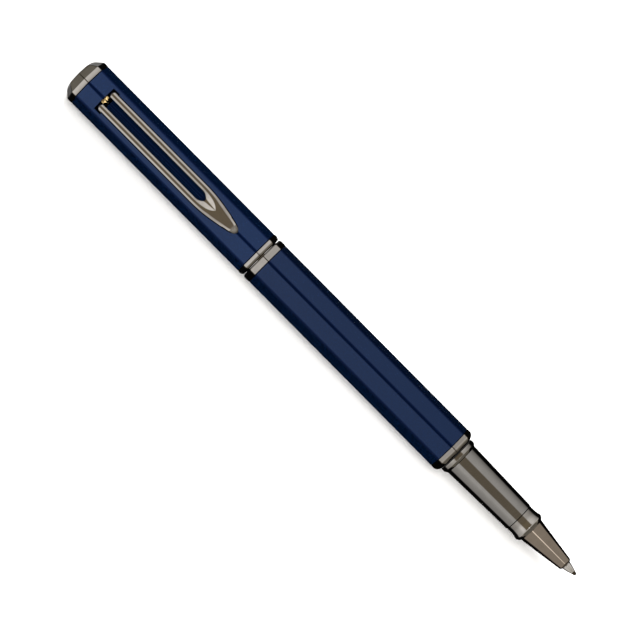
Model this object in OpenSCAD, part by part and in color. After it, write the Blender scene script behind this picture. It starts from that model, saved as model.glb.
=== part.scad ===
// Eight-sided rollerball pen with its cap posted on the tail of the barrel.
// It lies along X on a flat of its barrel, writing point towards +X, +Z up.
// The origin is under the middle of its length, on the surface it lies on.
// Every piece is drawn along Z, which is the pen's own axis, and then laid down.

/* [Outside] */
// Corner radius of the lacquered eight-sided tubes
body_r = 6.4; // [6.3:0.05:6.6]
// Centre line to each flat of the lacquered tubes
flat_r = 6.01; // [5.95:0.01:6.04]
// Corner radius of the crown finial
crown_r = 6.5; // [6.4:0.05:6.7]
// Corner radius of the lip ring and the tail ring
ring_r = 6.47; // [6.4:0.01:6.6]
// Corner radius of the barrel's front ring
front_ring_r = 6.47; // [6.4:0.01:6.6]
// How far the posted cap is turned on the tail post, in degrees
cap_turn = 4.1; // [0:0.1:8]

/* [Lengths] */
// Length of the crown finial
crown_len = 3.85; // [3.6:0.05:4.2]
// Length of the lacquered cap tube
cap_len = 59; // [58:0.5:62]
// Length of the cap's lip ring
lip_len = 1.65; // [1.5:0.05:2]
// Gap between the posted cap and the tail ring
post_gap = 0.2; // [0.1:0.05:0.4]
// Length of the tail ring
tail_ring_len = 2.1; // [1.8:0.1:2.6]
// Length of the lacquered barrel tube
barrel_len = 64.6; // [62:0.2:68]
// Length of the barrel's front ring
front_ring_len = 2.3; // [2:0.1:2.8]
// Length of the section collar, with its seal
collar_len = 1.9; // [1.8:0.05:2.2]
// Length of the tapering grip
grip_len = 20.4; // [19:0.2:22]
// Length of the flared ring
flare_len = 4.5; // [4.3:0.1:5]
// Length of the nose cone
nose_len = 12.35; // [12:0.05:13]
// Length of the refill's point that stands out of the nose cone
point_len = 3.55; // [3.4:0.05:3.8]

/* [Section] */
// Radius of the section collar
collar_r = 5.19; // [5.1:0.01:5.2]
// Radius of the grip behind
grip_r1 = 4.66; // [4.6:0.02:4.8]
// Radius of the grip in front
grip_r2 = 4.16; // [4.1:0.02:4.3]
// Radius of the nose cone behind
nose_r1 = 3.53; // [3.5:0.01:3.6]
// Radius of the nose cone in front, before its lip
nose_r2 = 1.84; // [1.8:0.01:1.9]

/* [Clip] */
// Half width of the clip
clip_w = 3.1; // [2.9:0.05:3.1]
// Half width of the slot between the rails
rail_gap = 1.3; // [1.28:0.02:1.5]
// Height of the clip's top over the pen's axis, at the root
clip_top = 7.95; // [7.8:0.05:8.1]
// Thickness of the rails
clip_t = 0.95; // [0.8:0.05:1.1]
// Length of the clip from the root to the tip
clip_len = 46.4; // [44:0.2:48]

/* [Cap inside] */
// Radius of the bore of the cap tube
cap_bore = 5.5; // [5.48:0.01:5.55]
// Radius of the bore of the lip ring and its sleeve
lip_bore = 5.24; // [5.22:0.01:5.26]
// Radius of the bore of the inner cap
liner_bore = 4.9; // [4.8:0.05:5]
// Radius of the clip's pivot pin
pin_r = 0.5; // [0.45:0.01:0.55]

/* [Barrel inside] */
// Radius of the bore of the barrel tube
barrel_bore = 5; // [4.95:0.01:5.05]
// Radius of the tail post
post_r = 5.1; // [5:0.02:5.14]
// Length of the tail post outside the barrel
post_len = 8.8; // [8:0.1:9.4]
// Radius of the thread, which is drawn smooth
thread_r = 4.62; // [4.6:0.01:4.65]
// Radial play of the section in its thread
thread_play = 0.04; // [0.02:0.01:0.08]
// Length of the section's screw nipple
nipple_len = 11.5; // [10:0.5:12]

/* [Refill] */
// Radius of the ink tube
refill_r = 3.05; // [3:0.01:3.1]
// Length of the whole refill
refill_len = 110.5; // [109:0.5:111]
// Radius of the writing ball
ball_r = 0.35; // [0.3:0.01:0.38]

/* [Hidden] */
$fn = 96;

total = crown_len + cap_len + lip_len + post_gap + tail_ring_len + barrel_len + front_ring_len
      + collar_len + grip_len + flare_len + nose_len + point_len;
z_end = -total / 2;
z_cap = z_end + crown_len;
z_lip = z_cap + cap_len;
z_mouth = z_lip + lip_len;
z_tail = z_mouth + post_gap;
z_barrel = z_tail + tail_ring_len;
z_front = z_barrel + barrel_len;
z_sect = z_front + front_ring_len;
z_grip = z_sect + collar_len;
z_flare = z_grip + grip_len;
z_nose = z_flare + flare_len;
z_point = z_nose + nose_len;
z_tip = z_point + point_len;

// the pen rests on a corner of the turned crown and a flat of the barrel's front ring
axis_h = crown_r * cos(22.5 - cap_turn);
corner = 202.5;              // the corner of the barrel that faces up and a little forwards
cap_a = corner + cap_turn;   // the corner of the cap that carries the clip

// inside the cap, from its closed end
plug_len = 1.95;
plate_t = 0.7;
z_plug = z_cap + plug_len;
z_plate = z_plug + plate_t;
pin_x = 3.55;
z_pin = z_cap + 4.95;
slot_z0 = z_cap + 5.3;
slot_z1 = z_cap + 7.35;
leg_z0 = z_cap + 5.95;
leg_z1 = z_cap + 6.95;
z_clip_tip = leg_z0 + clip_len;
z_liner = z_cap + 9.55;
z_liner_end = z_mouth - post_len - 0.7;
sleeve_len = 4.6;

// inside the barrel
z_post = z_tail - post_len;
z_stem = z_barrel + 9.4;
z_bush = z_front - 9.6;
ring_wire = 0.29;
z_groove = z_post + 3.6;

// the refill
z_ref = z_tip - refill_len;
z_shoulder = z_flare - 1.5;
z_ball = z_tip - ball_r;

// ---------- shapes used by several pieces

// lays a piece that is drawn along Z down along X, at the height of the pen's axis
module lay() { translate([0, 0, axis_h]) rotate([0, 90, 0]) children(); }

// turns a piece of the cap with the cap
module on_cap() { lay() rotate([0, 0, cap_a]) children(); }

// an eight-sided turned shape with a corner at +X: p lists [z, corner radius] from low z to high z
module eight(p) {
  k = cos(22.5);
  n = len(p);
  intersection_for (i = [0:3])
    rotate([0, 0, 45 * i + 22.5]) rotate([90, 0, 0])
      linear_extrude(height = 20, center = true)
        polygon(concat([for (q = p) [q[1] * k, q[0]]], [for (i = [n - 1:-1:0]) [-p[i][1] * k, p[i][0]]]));
}

// a round tube or rod between two stations
module tube(z0, z1, r, bore = 0) {
  difference() {
    translate([0, 0, z0]) cylinder(r = r, h = z1 - z0);
    if (bore > 0) translate([0, 0, z0 - 1]) cylinder(r = bore, h = z1 - z0 + 2);
  }
}

// a turned piece: p lists [radius, z] of its half section
module turned(p) { rotate_extrude() polygon(p); }

// an octagonal bar with its corners blunted to body_r
module blunt_eight(z, len) {
  translate([0, 0, z]) intersection() {
    cylinder(r = flat_r / cos(22.5), h = len, $fn = 8);
    cylinder(r = body_r, h = len);
  }
}

// a coil spring along Z, squared off by its own closed ends
module coil(z0, z1, r, wire, turns) {
  seg = 16;
  side = 6;
  n = turns * seg;
  len_z = z1 - z0 - 2 * wire;
  pts = [for (i = [0:n]) for (k = [0:side - 1])
    let (a = 360 * i / seg, b = 360 * k / side, q = r + wire * cos(b))
      [q * cos(a), q * sin(a), z0 + wire + len_z * i / n + wire * sin(b)]];
  faces = concat(
    [[for (k = [0:side - 1]) k]],
    [for (i = [0:n - 1]) for (k = [0:side - 1])
      [i * side + k, (i + 1) * side + k, (i + 1) * side + (k + 1) % side, i * side + (k + 1) % side]],
    [[for (k = [side - 1:-1:0]) n * side + k]]);
  polyhedron(points = pts, faces = faces, convexity = 10);
}

// ---------- cap

module crown_finial() {
  color("dimgray") on_cap() difference() {
    eight([[z_end, 3.3], [z_end + 0.1, 4.05], [z_end + 0.32, 4.5], [z_end + 0.75, 4.98],
           [z_end + 2.4, crown_r - 0.04], [z_end + 2.6, crown_r], [z_cap, crown_r]]);
    translate([0, 0, z_end + 1.2]) cylinder(r = 1.5, h = 4);
  }
}

module crown_screw() {
  color("silver") on_cap() difference() {
    union() {
      tube(z_end + 1.4, z_plate, 1.48);
      tube(z_plate, z_plate + 1.5, 2.4);
    }
    translate([-0.35, -3, z_plate + 0.8]) cube([0.7, 6, 2]);
  }
}

module cap_plug() {
  color("goldenrod") on_cap() tube(z_cap, z_plug, cap_bore - 0.02, 1.6);
}

module clip_bracket() {
  color("goldenrod") on_cap() difference() {
    union() {
      tube(z_plug, z_plate, 5.2);
      translate([2.75, -1.2, z_plug]) cube([2.15, 2.4, z_cap + 6.05 - z_plug]);
    }
    translate([0, 0, z_plug - 1]) cylinder(r = 1.6, h = 4);
    translate([pin_x, 0, z_pin]) rotate([90, 0, 0]) cylinder(r = pin_r, h = 8, center = true);
  }
}

module clip_pin() {
  color("silver") on_cap() translate([pin_x, 0, z_pin]) rotate([90, 0, 0]) cylinder(r = pin_r, h = 2 * clip_w, center = true);
}

module clip_spring() {
  color("lightgray") on_cap() coil(z_cap + 5.8, z_liner - 0.05, 1.5, 0.2, 4);
}

// the clip seen from the side, drawn as [along the pen, height over the axis]
module clip_side() {
  t = clip_top;
  e = z_clip_tip;
  polygon([
    [leg_z0, 4.4], [leg_z0, t - 0.85], [leg_z0 + 0.15, t - 0.45], [leg_z0 + 0.45, t - 0.15], [leg_z0 + 0.9, t],
    [e - 16, t - 0.12], [e - 7, t - 0.25], [e - 2.5, t - 0.42], [e - 0.9, t - 0.62], [e - 0.2, t - 0.85], [e, t - 1.05],
    [e - 0.15, t - 1.2], [e - 2.2, body_r + 0.2], [e - 3.2, body_r + 0.06], [e - 4.2, body_r + 0.2],
    [e - 6.5, t - clip_t - 0.2], [e - 12, t - clip_t - 0.12], [leg_z1 + 0.5, t - clip_t], [leg_z1, t - clip_t - 0.4],
    [leg_z1, 4.4]]);
}

// the clip seen from above, drawn as [along the pen, half width]
module clip_plan() {
  e = z_clip_tip;
  w = clip_w;
  half = [[z_pin - 3, w], [e - 13.2, w], [e - 10.4, w - 0.12], [e - 7.6, w - 0.48],
          [e - 4.6, w - 1], [e - 2.6, w - 1.45], [e - 1.5, w - 1.75], [e - 0.7, w - 2.2], [e - 0.2, w - 2.65], [e, w - 2.95]];
  n = len(half);
  polygon(concat(half, [for (i = [n - 1:-1:0]) [half[i][0], -half[i][1]]]));
}

// turns a side view into a bar across the clip, and a plan view into a post through it
module across(w) { rotate([0, -90, -90]) linear_extrude(height = w, center = true) children(); }
module through() { rotate([0, -90, 0]) linear_extrude(height = 30, center = true) children(); }

module clip() {
  bar_z0 = z_pin - 0.4;
  bar_z1 = z_pin + 0.8;
  slot_end = z_clip_tip - 11.3;
  color("gray") on_cap() difference() {
    union() {
      intersection() {
        across(2 * clip_w + 2) clip_side();
        through() clip_plan();
        translate([0, 0, z_pin - 3]) linear_extrude(height = z_clip_tip - z_pin + 4)
          polygon([for (q = [[4, clip_w], [clip_top - 0.65, clip_w], [clip_top - 0.37, clip_w - 0.22], [clip_top, clip_w - 0.6],
                             [clip_top + 1, clip_w - 0.6], [clip_top + 1, 0.6 - clip_w], [clip_top, 0.6 - clip_w], [clip_top - 0.37, 0.22 - clip_w], [clip_top - 0.65, -clip_w], [4, -clip_w]]) q]);
      }
      // the legs go down through the cap's slot to the pin, and a bar joins them under the screw
      translate([2.3, -clip_w, bar_z0]) cube([2.15, 2 * clip_w, leg_z1 - bar_z0]);
      translate([2.65, -clip_w, z_pin - 0.9]) cube([1.8, 2 * clip_w, 1.5]);
      translate([-0.6, -clip_w, bar_z0]) cube([3, 2 * clip_w, bar_z1 - bar_z0]);
    }
    // slot between the rails
    translate([2.2, -rail_gap, z_pin - 2]) cube([10, 2 * rail_gap, slot_end - rail_gap - z_pin + 2]);
    translate([2.2, 0, slot_end - rail_gap]) rotate([0, 90, 0]) cylinder(r = rail_gap, h = 10);
    translate([pin_x, 0, z_pin]) rotate([90, 0, 0]) cylinder(r = pin_r + 0.03, h = 12, center = true);
  }
}

module cap_shell() {
  color("midnightblue") on_cap() difference() {
    blunt_eight(z_cap, cap_len);
    translate([0, 0, z_cap - 1]) cylinder(r = cap_bore, h = cap_len + 2);
    translate([3.5, -clip_w - 0.35, slot_z0]) cube([6, 2 * clip_w + 0.7, slot_z1 - slot_z0]);
  }
}

module cap_liner() {
  color("ivory") on_cap() difference() {
    tube(z_liner, z_liner_end, cap_bore - 0.02);
    translate([0, 0, z_liner + 1]) cylinder(r = liner_bore, h = z_liner_end - z_liner);
  }
}

module cap_lip_ring() {
  color("dimgray") on_cap() difference() {
    union() {
      eight([[z_lip, ring_r - 0.07], [z_lip + 0.12, ring_r], [z_mouth - 0.6, ring_r], [z_mouth - 0.25, ring_r - 0.16], [z_mouth, ring_r - 0.4]]);
      tube(z_lip - sleeve_len, z_lip + 0.2, cap_bore - 0.02);
    }
    translate([0, 0, z_lip - sleeve_len - 1]) cylinder(r = lip_bore, h = 9);
    translate([0, 0, z_lip + 0.3]) cylinder(r = lip_bore + 0.38, h = 0.5);
  }
}

module cap_snap_ring() {
  color("silver") on_cap() difference() {
    translate([0, 0, z_lip + 0.55]) rotate_extrude() translate([lip_bore + 0.14, 0]) circle(r = 0.2, $fn = 24);
    translate([4, -0.5, z_lip]) cube([3, 1, 1.2]);
  }
}

// ---------- barrel

module tail_post() {
  color("dimgray") lay() difference() {
    union() {
      turned([[0, z_post], [post_r - 0.9, z_post], [post_r - 0.3, z_post + 0.25], [post_r, z_post + 0.8], [post_r, z_tail], [0, z_tail]]);
      tube(z_tail - 0.5, z_stem, 4.48);
    }
    translate([0, 0, z_post + 1.8]) cylinder(r = 3.4, h = 40);
    difference() {
      tube(z_groove, z_groove + 0.72, 7);
      tube(z_groove - 1, z_groove + 2, 4.6);
    }
  }
}

module post_ring() {
  color("black") lay() translate([0, 0, z_groove + 0.36]) rotate_extrude() translate([post_r - 0.18, 0]) circle(r = ring_wire, $fn = 24);
}

module tail_ring() {
  color("dimgray") lay() rotate([0, 0, corner]) difference() {
    eight([[z_tail, ring_r - 0.37], [z_tail + 0.2, ring_r - 0.15], [z_tail + 0.5, ring_r], [z_barrel - 0.12, ring_r], [z_barrel, ring_r - 0.07]]);
    translate([0, 0, z_tail - 1]) cylinder(r = 4.5, h = 9);
  }
}

module tail_bush() { color("goldenrod") lay() tube(z_barrel, z_stem, barrel_bore - 0.02, 4.5); }

module barrel_shell() {
  color("midnightblue") lay() difference() {
    rotate([0, 0, corner]) blunt_eight(z_barrel, barrel_len);
    translate([0, 0, z_barrel - 1]) cylinder(r = barrel_bore, h = barrel_len + 2);
  }
}

module barrel_front_bush() { color("goldenrod") lay() tube(z_bush, z_front, barrel_bore - 0.02, thread_r); }

module barrel_front_ring() {
  r = front_ring_r;
  color("dimgray") lay() rotate([0, 0, corner]) difference() {
    eight([[z_front, r - 0.07], [z_front + 0.12, r], [z_sect - 1.35, r], [z_sect - 0.85, r - 0.11], [z_sect - 0.6, r - 0.29],
           [z_sect - 0.35, r - 0.64], [z_sect - 0.12, r - 1.15], [z_sect, r - 1.35]]);
    translate([0, 0, z_front - 1]) cylinder(r = thread_r, h = 9);
  }
}

module refill_spring() { color("silver") lay() coil(z_post + 1.82, z_ref + 1.78, 2.4, 0.25, 6); }

// ---------- writing section

module section_seal() { color("black") lay() tube(z_sect + 0.02, z_sect + 0.16, 5, thread_r - 0.02); }

module section_collar() {
  r = collar_r;
  z0 = z_sect + 0.18;
  color("gray") lay() difference() {
    turned([[0, z0], [r - 0.06, z0], [r, z0 + 0.06], [r, z_grip - 0.72], [r - 0.06, z_grip - 0.58], [r - 0.42, z_grip - 0.06], [r - 0.48, z_grip], [0, z_grip]]);
    translate([0, 0, z0 - 1]) cylinder(r = 3.8, h = 9);
  }
}

module section_core() {
  color("goldenrod") lay() difference() {
    union() {
      tube(z_sect - nipple_len, z_sect + 0.18, thread_r - thread_play);
      tube(z_sect, z_nose - 0.4, 3.79);
    }
    translate([0, 0, z_sect - nipple_len - 1]) cylinder(r = 3.35, h = 60);
  }
}

module grip_sleeve() {
  color("gray") lay() difference() {
    translate([0, 0, z_grip]) cylinder(r1 = grip_r1, r2 = grip_r2, h = grip_len);
    translate([0, 0, z_grip - 1]) cylinder(r = 3.8, h = grip_len + 2);
  }
}

module flared_ring() {
  z = z_flare;
  n = z_nose;
  color("dimgray") lay() difference() {
    turned([[0, z], [3.92, z], [4, z + 0.08], [4, n - 2.9], [4.06, n - 2.4], [4.16, n - 1.9], [4.3, n - 1.4], [4.34, n - 1.15],
            [4.3, n - 0.9], [4.22, n - 0.65], [4.03, n - 0.4], [3.8, n - 0.16], [3.66, n], [0, n]]);
    translate([0, 0, z - 1]) cylinder(r = 3.8, h = flare_len + 0.6);
    translate([0, 0, z]) cylinder(r = 3.58, h = flare_len + 1);
  }
}

module nose_cone() {
  a = nose_r1;
  b = nose_r2;
  z = z_nose;
  p = z_point;
  color("gray") lay() difference() {
    turned([[0, z_shoulder + 0.36], [3.33, z_shoulder + 0.36], [3.33, z - 0.4], [a + 0.02, z - 0.4], [a + 0.02, z - 0.02], [a, z],
            [b, p - 0.5], [b - 0.06, p - 0.3], [b - 0.22, p - 0.1], [b - 0.42, p], [0, p]]);
    turned([[0, z_shoulder], [2.45, z_shoulder], [2.45, z + 1.7], [1.31, p - 3.6], [1.31, p + 1], [0, p + 1]]);
  }
}

// ---------- refill

module refill_tube() { color("lightsteelblue") lay() tube(z_ref + 2.8, z_shoulder - 0.8, refill_r, refill_r - 0.3); }

module refill_plug() {
  color("white") lay() turned([[0, z_ref], [1.6, z_ref], [1.8, z_ref + 0.2], [1.8, z_ref + 1.8], [refill_r, z_ref + 1.8], [refill_r, z_ref + 2.8],
                               [refill_r - 0.32, z_ref + 2.8], [refill_r - 0.32, z_ref + 4.8], [0, z_ref + 4.8]]);
}

module ink_wick() { color("blue") lay() tube(z_ref + 5.3, z_shoulder - 3.7, refill_r - 0.35, 0.3); }

module refill_feeder() {
  s = z_shoulder;
  color("black") lay() difference() {
    turned([[0, s - 3.2], [refill_r - 0.32, s - 3.2], [refill_r - 0.32, s - 0.8], [refill_r, s - 0.8], [refill_r, s + 0.3], [2.1, s + 0.3],
            [2.1, z_nose + 1.7], [1.25, z_point - 3.7], [0, z_point - 3.7]]);
    translate([0, 0, s - 4]) cylinder(r = 0.3, h = 30);
    translate([0, 0, z_point - 7.7]) cylinder(r = 0.9, h = 10);
  }
}

module feed_rod() { color("white") lay() tube(z_shoulder - 8, z_ball - ball_r - 0.05, 0.25); }

module writing_point() {
  p = z_point;
  t = z_tip;
  color("silver") lay() difference() {
    turned([[0, p - 7.7], [0.88, p - 7.7], [0.88, p - 3.68], [1.25, p - 3.68], [1.25, p + 0.25], [1.19, p + 0.5], [1.06, p + 1], [0.94, p + 1.5],
            [0.78, p + 2], [0.63, p + 2.5], [0.54, p + 2.85], [0.47, t - 0.45], [0.4, t - 0.26], [0, t - 0.26]]);
    translate([0, 0, p - 8]) cylinder(r = 0.3, h = z_ball - p + 8);
    translate([0, 0, z_ball]) sphere(r = ball_r + 0.02);
  }
}

module writing_ball() { color("black") lay() translate([0, 0, z_ball]) sphere(r = ball_r); }

// ---------- drawn pieces

crown_finial();
crown_screw();
cap_plug();
clip_bracket();
clip_pin();
clip_spring();
clip();
cap_shell();
cap_liner();
cap_lip_ring();
cap_snap_ring();
tail_post();
post_ring();
tail_ring();
tail_bush();
barrel_shell();
barrel_front_bush();
barrel_front_ring();
refill_spring();
section_seal();
section_collar();
section_core();
grip_sleeve();
flared_ring();
nose_cone();
refill_tube();
refill_plug();
ink_wick();
refill_feeder();
feed_rod();
writing_point();
writing_ball();
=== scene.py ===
import bpy
import bmesh
import math
from mathutils import Matrix, Vector


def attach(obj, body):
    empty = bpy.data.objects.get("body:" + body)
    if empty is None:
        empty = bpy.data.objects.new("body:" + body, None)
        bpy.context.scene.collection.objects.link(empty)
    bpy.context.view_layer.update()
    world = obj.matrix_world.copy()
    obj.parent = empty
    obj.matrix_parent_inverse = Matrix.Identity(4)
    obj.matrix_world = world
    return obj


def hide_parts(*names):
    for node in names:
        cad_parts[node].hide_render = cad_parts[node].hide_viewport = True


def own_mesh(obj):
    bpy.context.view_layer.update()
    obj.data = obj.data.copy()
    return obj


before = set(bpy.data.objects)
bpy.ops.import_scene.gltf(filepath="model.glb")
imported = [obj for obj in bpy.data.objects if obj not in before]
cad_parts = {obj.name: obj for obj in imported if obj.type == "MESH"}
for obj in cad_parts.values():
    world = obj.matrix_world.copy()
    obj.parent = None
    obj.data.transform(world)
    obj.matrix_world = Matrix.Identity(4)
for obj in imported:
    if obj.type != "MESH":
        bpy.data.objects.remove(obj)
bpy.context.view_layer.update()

MM = 0.001
COS8 = math.cos(math.radians(22.5))

# ---------------------------------------------------------------- sizes, mm along the pen's axis
FLAT = 6.01
BODY = FLAT / COS8     # sharp corner of the lacquered octagon; its rounded corner is 6.4
LAC_E = (BODY - 6.4) / (1 / COS8 - 1)
RING = 6.5
CROWN = 6.5
CAP_TURN = 4.1
AX = 6.5 * math.cos(math.radians(22.5 - CAP_TURN))
BARREL_A = 112.5      # angle of a barrel corner about +X, from +Y towards +Z
CAP_A = BARREL_A + CAP_TURN

Z_END, Z_CAP, Z_LIP, Z_MOUTH = -88.2, -84.35, -25.35, -23.7
Z_TAIL, Z_BARREL, Z_FRONT, Z_SECT = -23.5, -21.4, 43.2, 45.5
Z_GRIP, Z_FLARE, Z_NOSE, Z_POINT, Z_TIP = 47.4, 67.8, 72.3, 84.65, 88.2
Z_PLUG, Z_PLATE, Z_PIN = -82.4, -81.7, -79.4
SLOT0, SLOT1, LEG0, LEG1 = -79.05, -77.0, -78.4, -77.4
CLIP_END, CLIP_TOP, CLIP_T, CLIP_W, GAP = -32.0, 7.95, 0.95, 3.1, 1.3
Z_LINER, Z_LINER_END, Z_POST, Z_GROOVE = -74.8, -33.2, -32.3, -28.7
Z_STEM, Z_BUSH, Z_REF, Z_SHOULDER = -12.0, 33.6, -22.3, 66.3
Z_BALL = Z_TIP - 0.35


# ---------------------------------------------------------------- mesh helpers
def place(z, x, y, turn):
    """A point x out along the direction `turn` about the axis, y across it and z along the pen."""
    a = math.radians(turn)
    return Vector((z * MM, (x * math.cos(a) - y * math.sin(a)) * MM, (AX + x * math.sin(a) + y * math.cos(a)) * MM))


def fillet(points, default=0.0, step=14.0):
    """Rounds the corners of an open profile; a point is (z, r) or (z, r, radius)."""
    out = []
    n = len(points)
    for i, p in enumerate(points):
        rad = p[2] if len(p) > 2 else default
        if i in (0, n - 1) or rad <= 0:
            out.append((p[0], p[1]))
            continue
        a, b, c = Vector(points[i - 1][:2]), Vector(p[:2]), Vector(points[i + 1][:2])
        u, v = a - b, c - b
        lu, lv = u.length, v.length
        if lu < 1e-6 or lv < 1e-6:
            continue
        u, v = u / lu, v / lv
        cosang = max(-1.0, min(1.0, u.dot(v)))
        ang = math.acos(cosang)
        turn = math.pi - ang
        if turn < math.radians(1.5):
            out.append((p[0], p[1]))
            continue
        t = min(rad * math.tan(turn / 2), 0.48 * lu, 0.48 * lv)
        r = t / math.tan(turn / 2)
        steps = max(2, int(math.ceil(math.degrees(turn) / step)))
        mid = (u + v).normalized()
        cen = b + mid * (r / math.cos(turn / 2))
        s, e = b + u * t, b + v * t
        a0 = math.atan2(s[1] - cen[1], s[0] - cen[0])
        a1 = math.atan2(e[1] - cen[1], e[0] - cen[0])
        d = (a1 - a0 + math.pi) % (2 * math.pi) - math.pi
        for k in range(steps + 1):
            q = a0 + d * k / steps
            out.append((cen[0] + r * math.cos(q), cen[1] + r * math.sin(q)))
    return out


def smooth_path(points, step):
    """Monotone cubic through (z, value) points, sampled every `step` mm or closer."""
    zs = [p[0] for p in points]
    vs = [p[1] for p in points]
    f = pchip(zs, vs)
    out = []
    for i in range(len(zs) - 1):
        k = max(1, int(math.ceil((zs[i + 1] - zs[i]) / step)))
        for j in range(k):
            z = zs[i] + (zs[i + 1] - zs[i]) * j / k
            out.append((z, f(z)))
    out.append((zs[-1], vs[-1]))
    return out


def pchip(xs, ys):
    n = len(xs)
    h = [xs[i + 1] - xs[i] for i in range(n - 1)]
    d = [(ys[i + 1] - ys[i]) / h[i] for i in range(n - 1)]
    m = [0.0] * n
    m[0], m[-1] = d[0], d[-1]
    for i in range(1, n - 1):
        if d[i - 1] * d[i] <= 0:
            m[i] = 0.0
        else:
            w1, w2 = 2 * h[i] + h[i - 1], h[i] + 2 * h[i - 1]
            m[i] = (w1 + w2) / (w1 / d[i - 1] + w2 / d[i])

    def f(x):
        if x <= xs[0]:
            return ys[0]
        if x >= xs[-1]:
            return ys[-1]
        i = 0
        while x > xs[i + 1]:
            i += 1
        t = (x - xs[i]) / h[i]
        a, b = (1 + 2 * t) * (1 - t) ** 2, t * (1 - t) ** 2
        c, e = t * t * (3 - 2 * t), t * t * (t - 1)
        return a * ys[i] + b * h[i] * m[i] + c * ys[i + 1] + e * h[i] * m[i + 1]
    return f


def octo_xy(r, e, arc=6, flat=8, extra=None):
    """One octagon ring with a corner at angle 0: sharp corner radius r, corners rounded to radius e."""
    pts = []
    e = min(e, r * 0.5)
    cen = r - e / COS8
    for k in range(8):
        a = math.radians(45 * k)
        for j in range(arc + 1):
            q = a + math.radians(-22.5 + 45.0 * j / arc)
            pts.append((cen * math.cos(a) + e * math.cos(q), cen * math.sin(a) + e * math.sin(q)))
        b = math.radians(45 * (k + 1))
        s = pts[-1]
        q = b - math.radians(22.5)
        t = (cen * math.cos(b) + e * math.cos(q), cen * math.sin(b) + e * math.sin(q))
        for j in range(1, flat):
            pts.append((s[0] + (t[0] - s[0]) * j / flat, s[1] + (t[1] - s[1]) * j / flat))
    return pts


def angles_of(pts):
    return [math.atan2(p[1], p[0]) for p in pts]


def circle_xy(r, angs):
    return [(r * math.cos(a), r * math.sin(a)) for a in angs]


def finish_mesh(name, bm, turn_sharp=38.0, weighted=True):
    bmesh.ops.remove_doubles(bm, verts=bm.verts, dist=2e-7)
    bmesh.ops.dissolve_degenerate(bm, edges=bm.edges, dist=1e-7)
    bmesh.ops.recalc_face_normals(bm, faces=bm.faces)
    for f in bm.faces:
        f.smooth = True
    lim = math.radians(turn_sharp)
    for e in bm.edges:
        e.smooth = not (len(e.link_faces) == 2 and e.calc_face_angle(0.0) > lim)
    me = bpy.data.meshes.new(name)
    bm.to_mesh(me)
    bm.free()
    o = bpy.data.objects.new(name, me)
    bpy.context.scene.collection.objects.link(o)
    if weighted:
        m = o.modifiers.new("normals", "WEIGHTED_NORMAL")
        m.mode = "FACE_AREA_WITH_ANGLE"
        m.weight = 50
        m.thresh = 0.01
        m.keep_sharp = True
    return o


def rings_mesh(name, rings, close=False, sharp=38.0):
    """rings: lists of points; a ring of one point is a pole. close joins the last ring to the first."""
    bm = bmesh.new()
    vs = [[bm.verts.new(p) for p in r] for r in rings]
    pairs = list(zip(vs[:-1], vs[1:]))
    if close:
        pairs.append((vs[-1], vs[0]))
    for a, b in pairs:
        n = max(len(a), len(b))
        for j in range(n):
            k = (j + 1) % n
            if len(a) == 1 and len(b) == 1:
                continue
            if len(a) == 1:
                bm.faces.new((a[0], b[k], b[j]))
            elif len(b) == 1:
                bm.faces.new((a[j], a[k], b[0]))
            else:
                bm.faces.new((a[j], a[k], b[k], b[j]))
    return finish_mesh(name, bm, sharp)


def lathe(name, profile, n=128, close=False, default=0.0, sharp=38.0):
    prof = fillet(profile, default)
    rings = []
    for z, r in prof:
        if r <= 1e-5:
            rings.append([place(z, 0, 0, 0)])
        else:
            rings.append([place(z, r * math.cos(2 * math.pi * k / n), r * math.sin(2 * math.pi * k / n), BARREL_A) for k in range(n)])
    return rings_mesh(name, rings, close, sharp)


def octo(name, outer, inner, turn, e, close=True, arc=6, flat=8, e_of=None):
    """outer: profile (z, corner radius[, fillet]) drawn as an octagon; inner: profile (z, radius[, fillet]) drawn round."""
    prof = fillet([(p[0], p[1] * COS8) + tuple(p[2:]) for p in outer])
    base = octo_xy(6.4, e, arc, flat)
    angs = angles_of(base)
    n = len(base)
    rings = []
    for z, a in prof:
        r = a / COS8
        if r < 1e-4:
            rings.append([place(z, 0, 0, turn)])
            continue
        ee = e if e_of is None else e_of(z, r)
        rings.append([place(z, x, y, turn) for x, y in octo_xy(r, ee, arc, flat)])
    for z, r in fillet(inner):
        if r < 1e-4:
            rings.append([place(z, 0, 0, turn)])
        else:
            rings.append([place(z, x, y, turn) for x, y in circle_xy(r, angs)])
    return rings_mesh(name, rings, close)


# ---------------------------------------------------------------- materials
def lin(c):
    return tuple((v / 255 / 12.92) if v / 255 <= 0.04045 else ((v / 255 + 0.055) / 1.055) ** 2.4 for v in c)


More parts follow.
